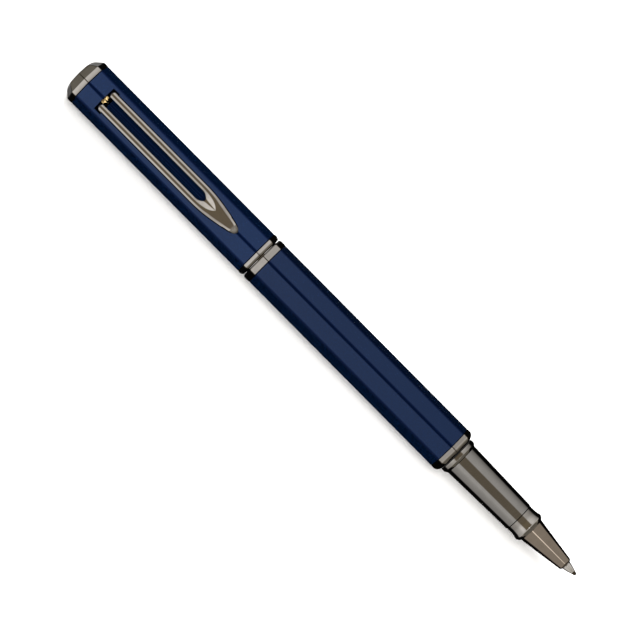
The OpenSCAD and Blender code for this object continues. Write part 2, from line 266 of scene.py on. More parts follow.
class Mat:
    """A small builder for node materials, all on object coordinates."""

    def __init__(self, name):
        self.m = bpy.data.materials.new(name)
        self.m.use_nodes = True
        self.t = self.m.node_tree
        self.t.nodes.clear()
        self.out = self.t.nodes.new("ShaderNodeOutputMaterial")
        self.b = self.t.nodes.new("ShaderNodeBsdfPrincipled")
        self.t.links.new(self.b.outputs[0], self.out.inputs[0])
        self.co = self.t.nodes.new("ShaderNodeTexCoord")

    def set(self, **kw):
        for k, v in kw.items():
            s = self.b.inputs[k.replace("_", " ")]
            s.default_value = (*v, 1.0) if isinstance(v, tuple) and len(v) == 3 and s.type == "RGBA" else v
        return self

    def noise(self, scale, stretch=(1, 1, 1), detail=4.0, rough=0.55, distortion=0.0):
        mp = self.t.nodes.new("ShaderNodeMapping")
        mp.inputs["Scale"].default_value = stretch
        self.t.links.new(self.co.outputs["Object"], mp.inputs["Vector"])
        n = self.t.nodes.new("ShaderNodeTexNoise")
        n.inputs["Scale"].default_value = scale
        n.inputs["Detail"].default_value = detail
        n.inputs["Roughness"].default_value = rough
        n.inputs["Distortion"].default_value = distortion
        self.t.links.new(mp.outputs[0], n.inputs["Vector"])
        return n.outputs["Fac"]

    def cells(self, scale, stretch=(1, 1, 1), feature="F1"):
        mp = self.t.nodes.new("ShaderNodeMapping")
        mp.inputs["Scale"].default_value = stretch
        self.t.links.new(self.co.outputs["Object"], mp.inputs["Vector"])
        n = self.t.nodes.new("ShaderNodeTexVoronoi")
        n.feature = feature
        n.inputs["Scale"].default_value = scale
        self.t.links.new(mp.outputs[0], n.inputs["Vector"])
        return n.outputs["Distance"] if feature != "F1" else n.outputs["Color"]

    def span(self, fac, lo, hi, a=0.0, b=1.0):
        r = self.t.nodes.new("ShaderNodeMapRange")
        r.inputs["From Min"].default_value = a
        r.inputs["From Max"].default_value = b
        r.inputs["To Min"].default_value = lo
        r.inputs["To Max"].default_value = hi
        self.t.links.new(fac, r.inputs["Value"])
        return r.outputs[0]

    def mix(self, fac, c1, c2):
        r = self.t.nodes.new("ShaderNodeMix")
        r.data_type = "RGBA"
        if isinstance(fac, float):
            r.inputs[0].default_value = fac
        else:
            self.t.links.new(fac, r.inputs[0])
        for s, c in ((r.inputs[6], c1), (r.inputs[7], c2)):
            if isinstance(c, tuple):
                s.default_value = (*c, 1.0)
            else:
                self.t.links.new(c, s)
        return r.outputs[2]

    def to(self, socket, value):
        self.t.links.new(value, self.b.inputs[socket])
        return self

    def edge(self, turn, d0, d1):
        """1 on the eight lengthwise corners of the octagon turned by `turn` degrees, 0 beyond d1 degrees round the axis."""
        t = self.t
        sep = t.nodes.new("ShaderNodeSeparateXYZ")
        t.links.new(self.co.outputs["Object"], sep.inputs[0])

        def ma(op, a, b=0.0):
            n = t.nodes.new("ShaderNodeMath")
            n.operation = op
            for k, v in enumerate((a, b)):
                if isinstance(v, (int, float)):
                    n.inputs[k].default_value = v
                else:
                    t.links.new(v, n.inputs[k])
            return n.outputs[0]

        a = ma("ARCTAN2", ma("SUBTRACT", sep.outputs[2], AX * MM), sep.outputs[1])
        u = ma("FRACT", ma("ADD", ma("DIVIDE", ma("SUBTRACT", a, math.radians(turn)), math.radians(45)), 16.5))
        d = ma("MULTIPLY", ma("ABSOLUTE", ma("SUBTRACT", u, 0.5)), 45.0)
        r = t.nodes.new("ShaderNodeMapRange")
        r.interpolation_type = "SMOOTHSTEP"
        r.inputs["From Min"].default_value = d0
        r.inputs["From Max"].default_value = d1
        r.inputs["To Min"].default_value = 1.0
        r.inputs["To Max"].default_value = 0.0
        t.links.new(d, r.inputs["Value"])
        return r.outputs[0]

    def bump(self, fac, strength, distance, normal=None):
        b = self.t.nodes.new("ShaderNodeBump")
        b.inputs["Strength"].default_value = strength
        b.inputs["Distance"].default_value = distance
        self.t.links.new(fac, b.inputs["Height"])
        if normal is not None:
            self.t.links.new(normal, b.inputs["Normal"])
        return b.outputs[0]


def metal(name, col, rough, var=0.05, brush=None, bump=0.05, dark=None, aniso=0.0, turn=None):
    m = Mat(name).set(Metallic=1.0)
    if brush is None:
        brush = (1, 1, 1)
    wear = m.noise(420, (1, 1, 1), 6, 0.6)
    smudge = m.noise(95, (0.35, 1, 1), 4, 0.5)
    hair = m.noise(2600, brush, 2, 0.5)
    dark = dark or tuple(c * 0.9 for c in col)
    tone = m.mix(m.span(wear, 0.0, 1.0, 0.35, 0.7), col, dark)
    # painted dark reflection: given `turn`, the eight lengthwise corners of an octagonal ring are darkened in the base
    # colour
    if turn is not None:
        tone = m.mix(m.edge(turn, 0.7, 1.5), tone, (0.10, 0.085, 0.06))
    m.to("Base Color", tone)
    r = m.t.nodes.new("ShaderNodeMath")
    r.operation = "ADD"
    m.t.links.new(m.span(smudge, rough - var, rough + var, 0.3, 0.7), r.inputs[0])
    m.t.links.new(m.span(hair, -var * 0.4, var * 0.4, 0.3, 0.7), r.inputs[1])
    m.to("Roughness", r.outputs[0])
    m.to("Normal", m.bump(hair, bump, 0.00001))
    return m.m


def lacquer(name, turn, k=1.0):
    m = Mat(name).set(Metallic=0.8, IOR=1.35, Coat_Weight=1.0, Coat_IOR=1.33, Coat_Roughness=0.03)
    flake = m.cells(9000, (1, 1, 1))
    cloud = m.noise(60, (0.25, 1, 1), 3, 0.5)
    base = m.mix(m.span(cloud, 0.0, 1.0, 0.3, 0.7), (0.0012 * k, 0.0175 * k, 0.074 * k), (0.002 * k, 0.0205 * k, 0.082 * k))
    sep = m.t.nodes.new("ShaderNodeSeparateColor")
    m.t.links.new(flake, sep.inputs[0])
    # painted dark reflection: along the eight lengthwise corners the base colour is darker and the coat thinner
    edge = m.edge(turn, 2.2, 5.2)
    m.to("Base Color", m.mix(edge, m.mix(m.span(sep.outputs[0], 0.0, 0.10), base, (0.004 * k, 0.03 * k, 0.11 * k)), (0.0002, 0.008 * k, 0.046 * k)))
    m.to("Coat Weight", m.span(edge, 1.0, 0.08))
    m.to("Roughness", m.span(m.noise(240, (1, 1, 1), 4, 0.5), 0.19, 0.24, 0.3, 0.7))
    haze = m.noise(130, (0.3, 1, 1), 5, 0.6)
    m.to("Coat Roughness", m.span(haze, 0.02, 0.06, 0.35, 0.75))
    peel = m.noise(700, (0.6, 1, 1), 2, 0.5)
    m.to("Coat Normal", m.bump(peel, 0.03, 0.00002))
    return m.m


def shade(name, col, dark):
    """Matt, nearly black: painted shade on the clip's root and sides, and in the narrow joints."""
    m = Mat(name).set(Metallic=0.0, IOR=1.02, Roughness=0.7)
    n = m.noise(500, (1, 1, 1), 4, 0.5)
    m.to("Base Color", m.mix(m.span(n, 0.0, 1.0, 0.3, 0.7), col, dark))
    m.to("Normal", m.bump(n, 0.05, 0.00001))
    return m.m


def plastic(name, col, rough=0.45, dark=None, bump=0.12, scale=900, trans=0.0, metallic=0.0):
    m = Mat(name).set(Metallic=metallic, Transmission_Weight=trans)
    n = m.noise(scale, (1, 1, 1), 5, 0.55)
    m.to("Base Color", m.mix(m.span(m.noise(160, (1, 1, 1), 4, 0.5), 0.0, 1.0, 0.3, 0.7), col, dark or tuple(c * 0.88 for c in col)))
    m.to("Roughness", m.span(n, rough - 0.06, rough + 0.08, 0.3, 0.7))
    m.to("Normal", m.bump(n, bump, 0.00002))
    return m.m


M = {
    "lacquer": lacquer("blue_lacquer_cap", CAP_A),
    # painted shade: the barrel's lacquer is the cap's at 0.84 of its colour, darker towards the tip
    "lacquer2": lacquer("blue_lacquer_barrel", BARREL_A, 0.84),
    "gunmetal": metal("gunmetal", (0.50, 0.475, 0.445), 0.09, 0.025, (0.1, 1, 1), 0.04),
    # painted light and shade: the cap's rings and the barrel's rings are lighter and darker copies of one gunmetal,
    # lighter towards the cap
    "capring": metal("gunmetal_cap_rings", (0.57, 0.54, 0.505), 0.08, 0.025, (0.1, 1, 1), 0.04, turn=CAP_A),
    "barrelring": metal("gunmetal_barrel_rings", (0.48, 0.455, 0.425), 0.08, 0.025, (0.1, 1, 1), 0.04, turn=BARREL_A),
    "joint": shade("joint_shadow", (0.0009, 0.0008, 0.0007), (0.0005, 0.0005, 0.0004)),
    "clipmetal": metal("gunmetal_clip", (0.58, 0.545, 0.505), 0.07, 0.025, (0.05, 1, 1), 0.05),
    "grip": metal("gunmetal_grip", (0.45, 0.44, 0.425), 0.065, 0.015, (3.0, 0.15, 0.15), 0.05),
    "collar": metal("gunmetal_collar", (0.48, 0.46, 0.43), 0.08, 0.02, (3.0, 0.15, 0.15), 0.05),
    "cliptip_painted_shade": metal("gunmetal_clip_tip_painted_shade", (0.24, 0.225, 0.20), 0.28, 0.03, (1, 1, 1), 0.06),
    "nose": metal("gunmetal_nose", (0.245, 0.205, 0.165), 0.07, 0.015, (3.0, 0.15, 0.15), 0.04),
    "brass": metal("brass", (0.78, 0.58, 0.27), 0.2, 0.06, (2.0, 0.4, 0.4), 0.15, (0.62, 0.43, 0.19)),
    "steel": metal("steel", (0.58, 0.575, 0.565), 0.2, 0.05, (2.0, 0.3, 0.3), 0.12),
    "clipshade_painted": shade("clip_root_sides_painted_shade", (0.0006, 0.0006, 0.0007), (0.0003, 0.0003, 0.0004)),
    "brass_painted_shade": metal("brass_inside_painted_shade", (0.10, 0.07, 0.03), 0.5, 0.08, (1, 1, 1), 0.2, (0.07, 0.05, 0.02)),
    "pointend_painted_shade": metal("writing_point_end_painted_shade", (0.06, 0.045, 0.03), 0.3, 0.05, (3.0, 0.2, 0.2), 0.1),
    "tip": metal("tip_steel", (0.62, 0.6, 0.57), 0.2, 0.04, (3.0, 0.2, 0.2), 0.08),
    "ball": metal("tungsten_ball", (0.2, 0.17, 0.14), 0.25, 0.05, (1, 1, 1), 0.1),
    "liner": plastic("liner_plastic", (0.06, 0.06, 0.065), 0.42, (0.045, 0.045, 0.05)),
    "refill": plastic("refill_plastic", (0.045, 0.05, 0.06), 0.4, (0.03, 0.033, 0.04)),
    "plug": plastic("refill_plug_plastic", (0.02, 0.06, 0.25), 0.38, (0.015, 0.05, 0.2)),
    "fibre": plastic("ink_fibre", (0.02, 0.035, 0.16), 0.85, (0.01, 0.02, 0.09), 0.6, 2400),
    "rubber": plastic("black_rubber", (0.018, 0.018, 0.018), 0.6, (0.012, 0.012, 0.012), 0.2, 1600),
}

pieces = []


def piece(o, body, node, mat):
    o.data.materials.clear()
    o.data.materials.append(M[mat])
    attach(o, body)
    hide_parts(node)
    pieces.append(o)
    return o


# ---------------------------------------------------------------- cap
def small_e(z, r):
    return min(0.32, r * 0.06)


def build_crown():
    z = Z_END
    o = octo("crown_finial_v",
             [(z, 0.0), (z, 1.2), (z + 0.015, 2.6), (z + 0.07, 3.6, 0.8), (z + 0.27, 4.35, 0.8), (z + 0.75, 4.98, 0.5),
              (z + 2.42, CROWN - 0.02, 0.2), (Z_CAP - 0.2, CROWN, 0.0), (Z_CAP, CROWN - 0.16)],
             [(Z_CAP, 1.5), (z + 1.25, 1.5), (z + 1.25, 0.0)], CAP_A, 0.22, close=False, e_of=small_e)
    piece(o, "cap", "crown_finial", "capring")
    joint(o, Z_CAP - 0.2, Z_CAP)
    return o


def build_cap_shell():
    e, arc, flat = LAC_E, 10, 10
    half = CLIP_W + 0.35
    ring = octo_xy(BODY, e, arc, flat)
    n = len(ring)
    # the two samples next to the slot's sides move onto them exactly
    a8 = math.radians(22.5)
    ap = BODY * COS8

    def on_flat(y):
        s = 1 if y > 0 else -1
        x = (ap - abs(y) * math.sin(a8)) / math.cos(a8)
        return (x, y)

    right = min((j for j in range(n) if ring[j][0] > 0), key=lambda j: abs(ring[j][1] - half))
    left = min((j for j in range(n) if ring[j][0] > 0), key=lambda j: abs(ring[j][1] + half))
    sub = {right: on_flat(half), left: on_flat(-half)}

    def outer(r, ee):
        p = octo_xy(r, ee, arc, flat)
        k = r / BODY
        if abs(r - BODY) < 1e-9:
            for j, q in sub.items():
                p[j] = q
        else:
            for j, q in sub.items():
                x = (r * COS8 - abs(q[1]) * math.sin(a8)) / math.cos(a8)
                p[j] = (x, q[1])
        return p

    full = outer(BODY, e)
    inslot = [j for j in range(n) if full[j][0] > 0 and abs(full[j][1]) <= half + 1e-6]
    inset = set(inslot)
    bore = 5.5

    def inner(r):
        out = []
        for j in range(n):
            x, y = full[j]
            if j in inset:
                out.append((math.sqrt(r * r - y * y), y))
            else:
                out.append(None)
        # spread the others evenly by angle between the slot's two sides
        a0 = math.atan2(out[right][1], out[right][0])
        a1 = math.atan2(out[left][1], out[left][0]) + 2 * math.pi
        b0 = math.atan2(full[right][1], full[right][0])
        b1 = math.atan2(full[left][1], full[left][0]) + 2 * math.pi
        for j in range(n):
            if out[j] is None:
                b = math.atan2(full[j][1], full[j][0])
                if b < b0:
                    b += 2 * math.pi
                a = a0 + (a1 - a0) * (b - b0) / (b1 - b0)
                out[j] = (r * math.cos(a), r * math.sin(a))
        return out

    r0 = 0.14
    prof = []
    for k in range(4):
        q = math.radians(90 * k / 3)
        prof.append((Z_CAP + r0 * (1 - math.sin(q)), BODY - (r0 * (1 - math.cos(q))) / COS8))
    prof = prof[::-1]
    zs = [(z, outer(r, e)) for z, r in prof]
    for z in (-82, SLOT0, SLOT1, -70, -60, -50, -40, -32):
        zs.append((z, outer(BODY, e)))
    for k in range(4):
        q = math.radians(90 * k / 3)
        zs.append((Z_LIP - r0 * (1 - math.sin(q)), outer(BODY - (r0 * (1 - math.cos(q))) / COS8, e)))
    i_out = len(zs)
    outer_zs = [z for z, _ in zs]
    ins = [(Z_LIP, inner(bore)), (-32, inner(bore)), (-40, inner(bore)), (-50, inner(bore)), (-60, inner(bore)), (-70, inner(bore)),
           (SLOT1, inner(bore)), (SLOT0, inner(bore)), (-82, inner(bore)), (Z_CAP, inner(bore))]
    bm = bmesh.new()
    rows = [[bm.verts.new(place(z, x, y, CAP_A)) for x, y in p] for z, p in zs + ins]
    o0 = next(i for i in range(i_out) if abs(outer_zs[i] - SLOT0) < 1e-9)
    o1 = o0 + 1
    k1 = i_out + 6
    k0 = i_out + 7
    m = len(rows)
    gap = {j for j in inslot if (j + 1) % n in inset}
    for i in range(m):
        a, b = rows[i], rows[(i + 1) % m]
        for j in range(n):
            if (i in (o0, k1)) and j in gap:
                continue
            k = (j + 1) % n
            bm.faces.new((a[j], a[k], b[k], b[j]))
    for j in gap:
        k = (j + 1) % n
        bm.faces.new((rows[o0][j], rows[o0][k], rows[k0][k], rows[k0][j]))
        bm.faces.new((rows[o1][j], rows[o1][k], rows[k1][k], rows[k1][j]))
    for j in (right, left):
        bm.faces.new((rows[o0][j], rows[o1][j], rows[k1][j], rows[k0][j]))
    bm.edges.ensure_lookup_table()
    rim = []
    rimset = {rows[o0][j] for j in inslot} | {rows[o1][j] for j in inslot}
    for ed in bm.edges:
        u, v = ed.verts
        if u in rimset and v in rimset and len(ed.link_faces) == 2:
            iz = {0 if w in set(rows[o0]) else 1 for w in (u, v)}
            js = [rows[o0].index(w) if w in rows[o0] else rows[o1].index(w) for w in (u, v)]
            if len(iz) == 1 and abs(js[0] - js[1]) in (1, n - 1) and (min(js) in gap or max(js) in gap):
                rim.append(ed)
            elif len(iz) == 2 and js[0] == js[1] and js[0] in (right, left):
                rim.append(ed)
    bmesh.ops.recalc_face_normals(bm, faces=bm.faces)
    bmesh.ops.bevel(bm, geom=rim, offset=0.11 * MM, offset_type="OFFSET", segments=3, profile=0.5, affect="EDGES", clamp_overlap=True)
    o = finish_mesh("cap_shell_v", bm)
    return piece(o, "cap", "cap_shell", "lacquer")


def build_lip_ring():
    r = RING
    inner_r = 5.24
    o = octo("cap_lip_ring_v",
             [(Z_LIP, 5.7), (Z_LIP, r - 0.14), (Z_LIP + 0.2, r, 0.03), (Z_MOUTH - 0.66, r, 0.02), (Z_MOUTH - 0.2, r - 0.28, 0.02), (Z_MOUTH, r - 0.46, 0.02), (Z_MOUTH, 5.95)],
             [(Z_MOUTH, 5.4), (Z_MOUTH - 0.12, inner_r), (Z_LIP + 0.8, inner_r), (Z_LIP + 0.8, inner_r + 0.38), (Z_LIP + 0.3, inner_r + 0.38), (Z_LIP + 0.3, inner_r),
              (Z_LIP - 4.5, inner_r), (Z_LIP - 4.6, inner_r + 0.08), (Z_LIP - 4.6, 5.40), (Z_LIP - 4.5, 5.48), (Z_LIP, 5.48)],
             CAP_A, 0.34)
    piece(o, "cap", "cap_lip_ring", "capring")
    joint(o, Z_LIP - 0.1, Z_LIP + 0.17)
    joint(o, Z_MOUTH - 0.19, Z_MOUTH + 0.1)
    return o


def joint(o, x0, x1, nx=None):
    """The faces between x0 and x1 (millimetres along the pen) are in the shade of a joint; nx picks faces that look along the pen."""
    if M["joint"].name not in [m.name for m in o.data.materials]:
        o.data.materials.append(M["joint"])
    k = len(o.data.materials) - 1
    for f in o.data.polygons:
        if x0 < f.center.x / MM < x1 and (nx is None or f.normal.x * nx > 0.8):
            f.material_index = k
    return o


# ---------------------------------------------------------------- clip
def build_clip():
    e = CLIP_END
    top_f = pchip([-77.5, -60, -48, -39, -34.5, -33.3, -32.7, -32.2, e], [0, 0.05, 0.12, 0.25, 0.42, 0.53, 0.68, 0.86, 1.05])
    bot_f = pchip([-77.05, -70, -44, -38.5, -36.6, -35.2, -33.9, -32.5, e], [7.0, 6.99, 6.88, 6.80, 6.62, 6.46, 6.60, 6.70, 6.78])
    w_f = pchip([-79, -45.2, -42.4, -40.6, -38.6, -36.6, -34.6, -33.6, -32.8, -32.3, -32.08, e], [3.1, 3.1, 2.98, 2.78, 2.47, 2.1, 1.65, 1.39, 1.04, 0.66, 0.36, 0.14])
    co_f = pchip([-79, -46, -42.4, -39.6, -36.85, -34.35, -33.1, -32.4, e], [2.39, 2.39, 2.19, 1.68, 1.22, 0.80, 0.55, 0.3, 0.05])
    s_end = -43.3
    ci_f = pchip([-79, -46.6, -45, -43.6, -42.1, -41.1, -40.4, -40.0, -39.75, -39.6], [1.79, 1.79, 1.76, 1.66, 1.42, 1.08, 0.7, 0.4, 0.14, 0.0])
    s_f = pchip([-79, -45.4, -44.8, -44.3, -43.9, -43.6, -43.42, -43.33, s_end], [1.35, 1.35, 1.27, 1.08, 0.86, 0.62, 0.4, 0.2, 0.0])
    d_f = pchip([-79, -46.0, -44.5, s_end, -42.4, -41.4, -40.6, -40.0, -39.6], [0.25, 0.25, 0.36, 0.55, 0.50, 0.38, 0.24, 0.1, 0.0])
    fl_f = pchip([-44.6, -43.8, s_end, -42.5, -41, -40.2, -39.7], [0.0, 0.38, 0.42, 0.3, 0.17, 0.06, 0.0])

    stations = []   # (top point, outward normal, bottom point, z used for the plan functions)
    rb, ri = 0.6, 0.2
    for x in (4.4, 5.2, 6.0, 6.6):
        stations.append(((LEG0, x), (-1.0, 0.0), (LEG1, min(x, 6.6)), -79.0))
    k = 12
    for i in range(k + 1):
        b = math.radians(90.0 * i / k)
        n = (-math.cos(b), math.sin(b))
        p = (LEG0 + rb + rb * n[0], CLIP_TOP - rb + rb * n[1])
        q = (LEG1 + ri + ri * n[0], CLIP_TOP - CLIP_T - ri + ri * n[1])
        stations.append((p, n, q, -78.0))
    zs = [-77.0, -76, -74, -70, -66, -62, -58, -54, -51, -49, -47.6, -46.6]
    z = -46.2
    while z < -43.95:
        zs.append(z)
        z += 0.15
    zs += [-43.9, -43.8, -43.7, -43.6, -43.52, -43.45, -43.4, -43.36, -43.33, -43.31, s_end]
    z = -43.15
    while z < -39.5:
        zs.append(z)
        z += 0.15
    z = -39.4
    while z < -33.6:
        zs.append(z)
        z += 0.3
    zs += [-33.5, -33.2, -33.0, -32.8, -32.6, -32.45, -32.3, -32.2, -32.12, -32.05, e]
    for z in zs:
        stations.append(((z, CLIP_TOP - top_f(z)), (0.0, 1.0), (z, min(bot_f(z), CLIP_TOP - top_f(z) - 0.1)), z))

    def section(st):
        p, n, q, zf = st
        h = math.hypot(p[0] - q[0], p[1] - q[1])
        d = ((q[0] - p[0]) / h, (q[1] - p[1]) / h)
        solid = zf >= s_end - 1e-9
        w = w_f(zf)
        co = min(co_f(zf), w - 0.4 * min(0.3, w))
        ci = min(ci_f(zf), co - 0.02)
        s = s_f(zf) if not solid else 0.0
        dep = min(d_f(zf), 0.62 * h)
        fl = max(fl_f(zf) if zf > -44.6 else 0.0, s)
        fl = min(fl, max(ci, 0.0))
        do = min(0.19, 0.23 * h)              # drop of the outer bevel
        wb = w - min(0.28, 0.15 * w)           # where the bevel turns into the side
        g = max(ci - fl, 0.0)
        rr = min(0.04, 0.3 * g)
        top = [(s, dep), (fl, dep)]
        for t in (0.08, 0.3, 0.55, 0.8):
            top.append((fl + g * t, dep * (1 - t)))
        top.append((ci - rr, dep * (rr / g) if g > 1e-6 else 0.0))
        top.append((ci, dep * (rr / g) * 0.25 if g > 1e-6 else 0.0))
        top.append((ci + rr, 0.0))
        f0, f1 = ci + rr, co - 0.04
        for t in (0.25, 0.5, 0.75, 1.0):
            top.append((f0 + (f1 - f0) * t, 0.0))
        sl = do / max(wb - co, 0.02)
        a = min(0.04, 0.3 * (wb - co))
        top.append((co, a * sl * 0.25))
        top.append((co + a, a * sl))
        top.append((co + (wb - co) * 0.5, do * 0.5))
        top.append((wb - a, do - a * sl))
        sr = w - wb
        top.append((wb + sr * 0.12, do + 0.03 * h))
        top.append((wb + sr * 0.5, do + 0.16 * h))
        top.append((wb + sr * 0.86, do + 0.28 * h))
        eps = min(0.008, 0.02 * w)
        fixed = [top[0]]
        for y, dd in top[1:]:
            fixed.append((max(y, fixed[-1][0] + eps), dd))
        cols = fixed
        wo = max(w, cols[-1][0] + eps)
        cols.append((wo, do + 0.36 * h))
        r = min(0.12, 0.12 * h, 0.3 * w)
        cols.append((wo, h - r))
        cols.append((wo - r * 0.3, h - r * 0.3))
        cols.append((wo - r, h))
        low = s * (0.91 if zf > -76 else 0.985)  # the inner wall leans in a little towards its foot
        ins = (0.1, 0.03, 0.0) if not solid else (6 * eps, 3 * eps, 0.0)
        yi = low + ins[0]
        for t in (0.3, 0.6, 0.85):
            cols.append((wo - r + (yi - wo + r) * t, h))
        cols.append((yi, h))
        cols.append((low + ins[1], h - (0.03 if not solid else 0.0)))
        cols.append((low, h - (0.1 if not solid else 0.0)))
        pts = []
        for y, dd in cols:
            # near the top go down along the outward normal, lower down along the line to the bottom point
            t = min(1.0, max(0.0, dd / h))
            dx = (-n[0] * (1 - t) + d[0] * t, -n[1] * (1 - t) + d[1] * t)
            l = math.hypot(*dx)
            if dd >= h - 1e-9:
                pts.append((q[0], q[1], y))
            else:
                pts.append((p[0] + dx[0] / l * dd, p[1] + dx[1] / l * dd, y))
        return pts, solid

    secs = [section(s) for s in stations]
    bm = bmesh.new()
    for side in (1, -1):
        rows = [[bm.verts.new(place(z, x, side * y, CAP_A)) for z, x, y in pts] for pts, _ in secs]
        kn = len(rows[0])
        for i in range(len(rows) - 1):
            for j in range(kn):
                if j == kn - 1 and secs[i][1]:
                    continue
                k2 = (j + 1) % kn
                fa = (rows[i][j], rows[i][k2], rows[i + 1][k2], rows[i + 1][j])
                bm.faces.new(fa if side == 1 else fa[::-1])
        bm.faces.new(rows[0] if side == -1 else rows[0][::-1])
        tip = rows[-1]
        bm.faces.new(tip if side == 1 else tip[::-1])
    bmesh.ops.remove_doubles(bm, verts=bm.verts, dist=4e-7)
    bmesh.ops.recalc_face_normals(bm, faces=bm.faces)
    me = bpy.data.meshes.new("clip_v")
    bm.to_mesh(me)
    bm.free()
    o = bpy.data.objects.new("clip_v", me)
    bpy.context.scene.collection.objects.link(o)
    return o


def box_bm(bm, z0, z1, x0, x1, y0, y1, turn, bev=0.0):
    vs = [bm.verts.new(place(z, x, y, turn)) for z in (z0, z1) for x in (x0, x1) for y in (y0, y1)]
    fs = [(0, 1, 3, 2), (4, 6, 7, 5), (0, 4, 5, 1), (2, 3, 7, 6), (0, 2, 6, 4), (1, 5, 7, 3)]
    faces = [bm.faces.new([vs[i] for i in f]) for f in fs]
    bmesh.ops.recalc_face_normals(bm, faces=faces)
    if bev > 0:
        eds = list({e for f in faces for e in f.edges})
        bmesh.ops.bevel(bm, geom=eds, offset=bev * MM, offset_type="OFFSET", segments=2, profile=0.5, affect="EDGES", clamp_overlap=True)


def temp_object(name, bm):
    me = bpy.data.meshes.new(name)
    bm.to_mesh(me)
    bm.free()
    o = bpy.data.objects.new(name, me)
    bpy.context.scene.collection.objects.link(o)
    return o


def boolean(o, other, op):
    big = Matrix.Scale(1000.0, 4)
    o.data.transform(big)
    other.data.transform(big)
    m = o.modifiers.new("b", "BOOLEAN")
    m.operation = op
    m.solver = "EXACT"
    m.object = other
    bpy.context.view_layer.update()
    dg = bpy.context.evaluated_depsgraph_get()
    me = bpy.data.meshes.new_from_object(o.evaluated_get(dg))
    me.transform(Matrix.Scale(0.001, 4))
    o.modifiers.remove(m)
    old = o.data
    o.data = me
    bpy.data.meshes.remove(old)
    od = other.data
    bpy.data.objects.remove(other)
    bpy.data.meshes.remove(od)


def remake(o, sharp=38.0):
    bm = bmesh.new()
    bm.from_mesh(o.data)
    name = o.name
    old = o.data
    bpy.data.objects.remove(o)
    bpy.data.meshes.remove(old)
    return finish_mesh(name, bm, sharp)


def cyl_bm(bm, z0, z1, x0, y0, r, axis, turn, n=48):
    """A plain cylinder, axis "z" along the pen or "y" across it."""
    a, b = [], []
    for k in range(n):
        q = 2 * math.pi * k / n
        if axis == "z":
            a.append(bm.verts.new(place(z0, x0 + r * math.cos(q), y0 + r * math.sin(q), turn)))
            b.append(bm.verts.new(place(z1, x0 + r * math.cos(q), y0 + r * math.sin(q), turn)))
        else:
            a.append(bm.verts.new(place(x0 + r * math.cos(q), y0 + r * math.sin(q), z0, turn)))
            b.append(bm.verts.new(place(x0 + r * math.cos(q), y0 + r * math.sin(q), z1, turn)))
    fs = []
    for k in range(n):
        j = (k + 1) % n
        fs.append(bm.faces.new((a[k], a[j], b[j], b[k])))
    fs.append(bm.faces.new(a[::-1]))
    fs.append(bm.faces.new(b))
    bmesh.ops.recalc_face_normals(bm, faces=fs)


clip = build_clip()


def side_plate(bm, outline, y0, y1, turn):
    """outline: (z, x) points seen from the pen's side, pushed across it from y0 to y1."""
    a = [bm.verts.new(place(z, x, y0, turn)) for z, x in outline]
    b = [bm.verts.new(place(z, x, y1, turn)) for z, x in outline]
    n = len(outline)
    fs = [bm.faces.new((a[i], a[(i + 1) % n], b[(i + 1) % n], b[i])) for i in range(n)]
    fs += [bm.faces.new(a[::-1]), bm.faces.new(b)]
    bmesh.ops.recalc_face_normals(bm, faces=fs)


LUG = [(Z_PIN - 0.35, 1.9), (Z_PIN - 0.35, 2.6), (Z_PIN - 0.75, 2.6), (Z_PIN - 0.9, 2.75), (Z_PIN - 0.9, 4.3), (Z_PIN - 0.75, 4.45), (Z_PIN - 0.4, 4.45),
       (Z_PIN - 0.35, 4.55), (LEG1 - 0.06, 4.55), (LEG1 - 0.01, 4.5), (LEG1 - 0.01, 2.45), (LEG1 - 0.12, 2.3), (Z_PIN + 0.75, 2.3), (Z_PIN + 0.75, 1.9)]
bar = bmesh.new()
side_plate(bar, [(Z_PIN - 0.4, -0.5), (Z_PIN - 0.3, -0.6), (Z_PIN + 0.7, -0.6), (Z_PIN + 0.8, -0.5), (Z_PIN + 0.8, 2.15), (Z_PIN + 0.7, 2.25), (Z_PIN - 0.3, 2.25), (Z_PIN - 0.4, 2.15)],
           -CLIP_W + 0.02, CLIP_W - 0.02, CAP_A)
t_yoke = temp_object("t1", bar)
for sy in (-1, 1):
    lug = bmesh.new()
    side_plate(lug, LUG, sy * GAP, sy * (CLIP_W - 0.01), CAP_A)
    boolean(t_yoke, temp_object("t3", lug), "UNION")
hole = bmesh.new()
cyl_bm(hole, -6, 6, Z_PIN, 3.55, 0.53, "y", CAP_A)
boolean(t_yoke, temp_object("t5", hole), "DIFFERENCE")
boolean(clip, t_yoke, "UNION")
clip = remake(clip, 40.0)
piece(clip, "clip", "clip", "clipmetal")
clip.data.materials.append(M["clipshade_painted"])
# painted shade: the clip's root inside the slot and its steep side and inner-wall faces get the nearly black matt
# material
up_y, up_z = math.cos(math.radians(CAP_A)), math.sin(math.radians(CAP_A))
for f in clip.data.polygons:
    c = f.center
    rad = c.y * up_y + (c.z - AX * MM) * up_z
    nu = f.normal.y * up_y + f.normal.z * up_z
    lat = abs((c.z - AX * MM) * up_y - c.y * up_z)
    if c.x < -0.0772 and rad < 0.0052 or rad > 0.0052 and abs(nu) < (0.84 if lat > 0.0019 or c.x > -0.0395 else 0.5) and f.normal.x < 0.4 and c.x > -0.0772:
        f.material_index = 1
# painted shade: the clip's faces near its tip that slope towards the pen's tip get a darker, rougher gunmetal
clip.data.materials.append(M["cliptip_painted_shade"])
for f in clip.data.polygons:
    if f.material_index == 0 and f.center.x > -0.0337 and f.normal.x > 0.07:
        f.material_index = 2

build_crown()
build_cap_shell()
build_lip_ring()

# brass bracket: round plate, and a tongue that carries the pin and shows between the clip's roots
bk = lathe("clip_bracket_v", [(Z_PLUG, 1.6), (Z_PLUG, 5.14), (Z_PLUG + 0.06, 5.2), (Z_PLATE - 0.06, 5.2), (Z_PLATE, 5.14), (Z_PLATE, 1.6)], 96, True)
bk.modifiers.clear()


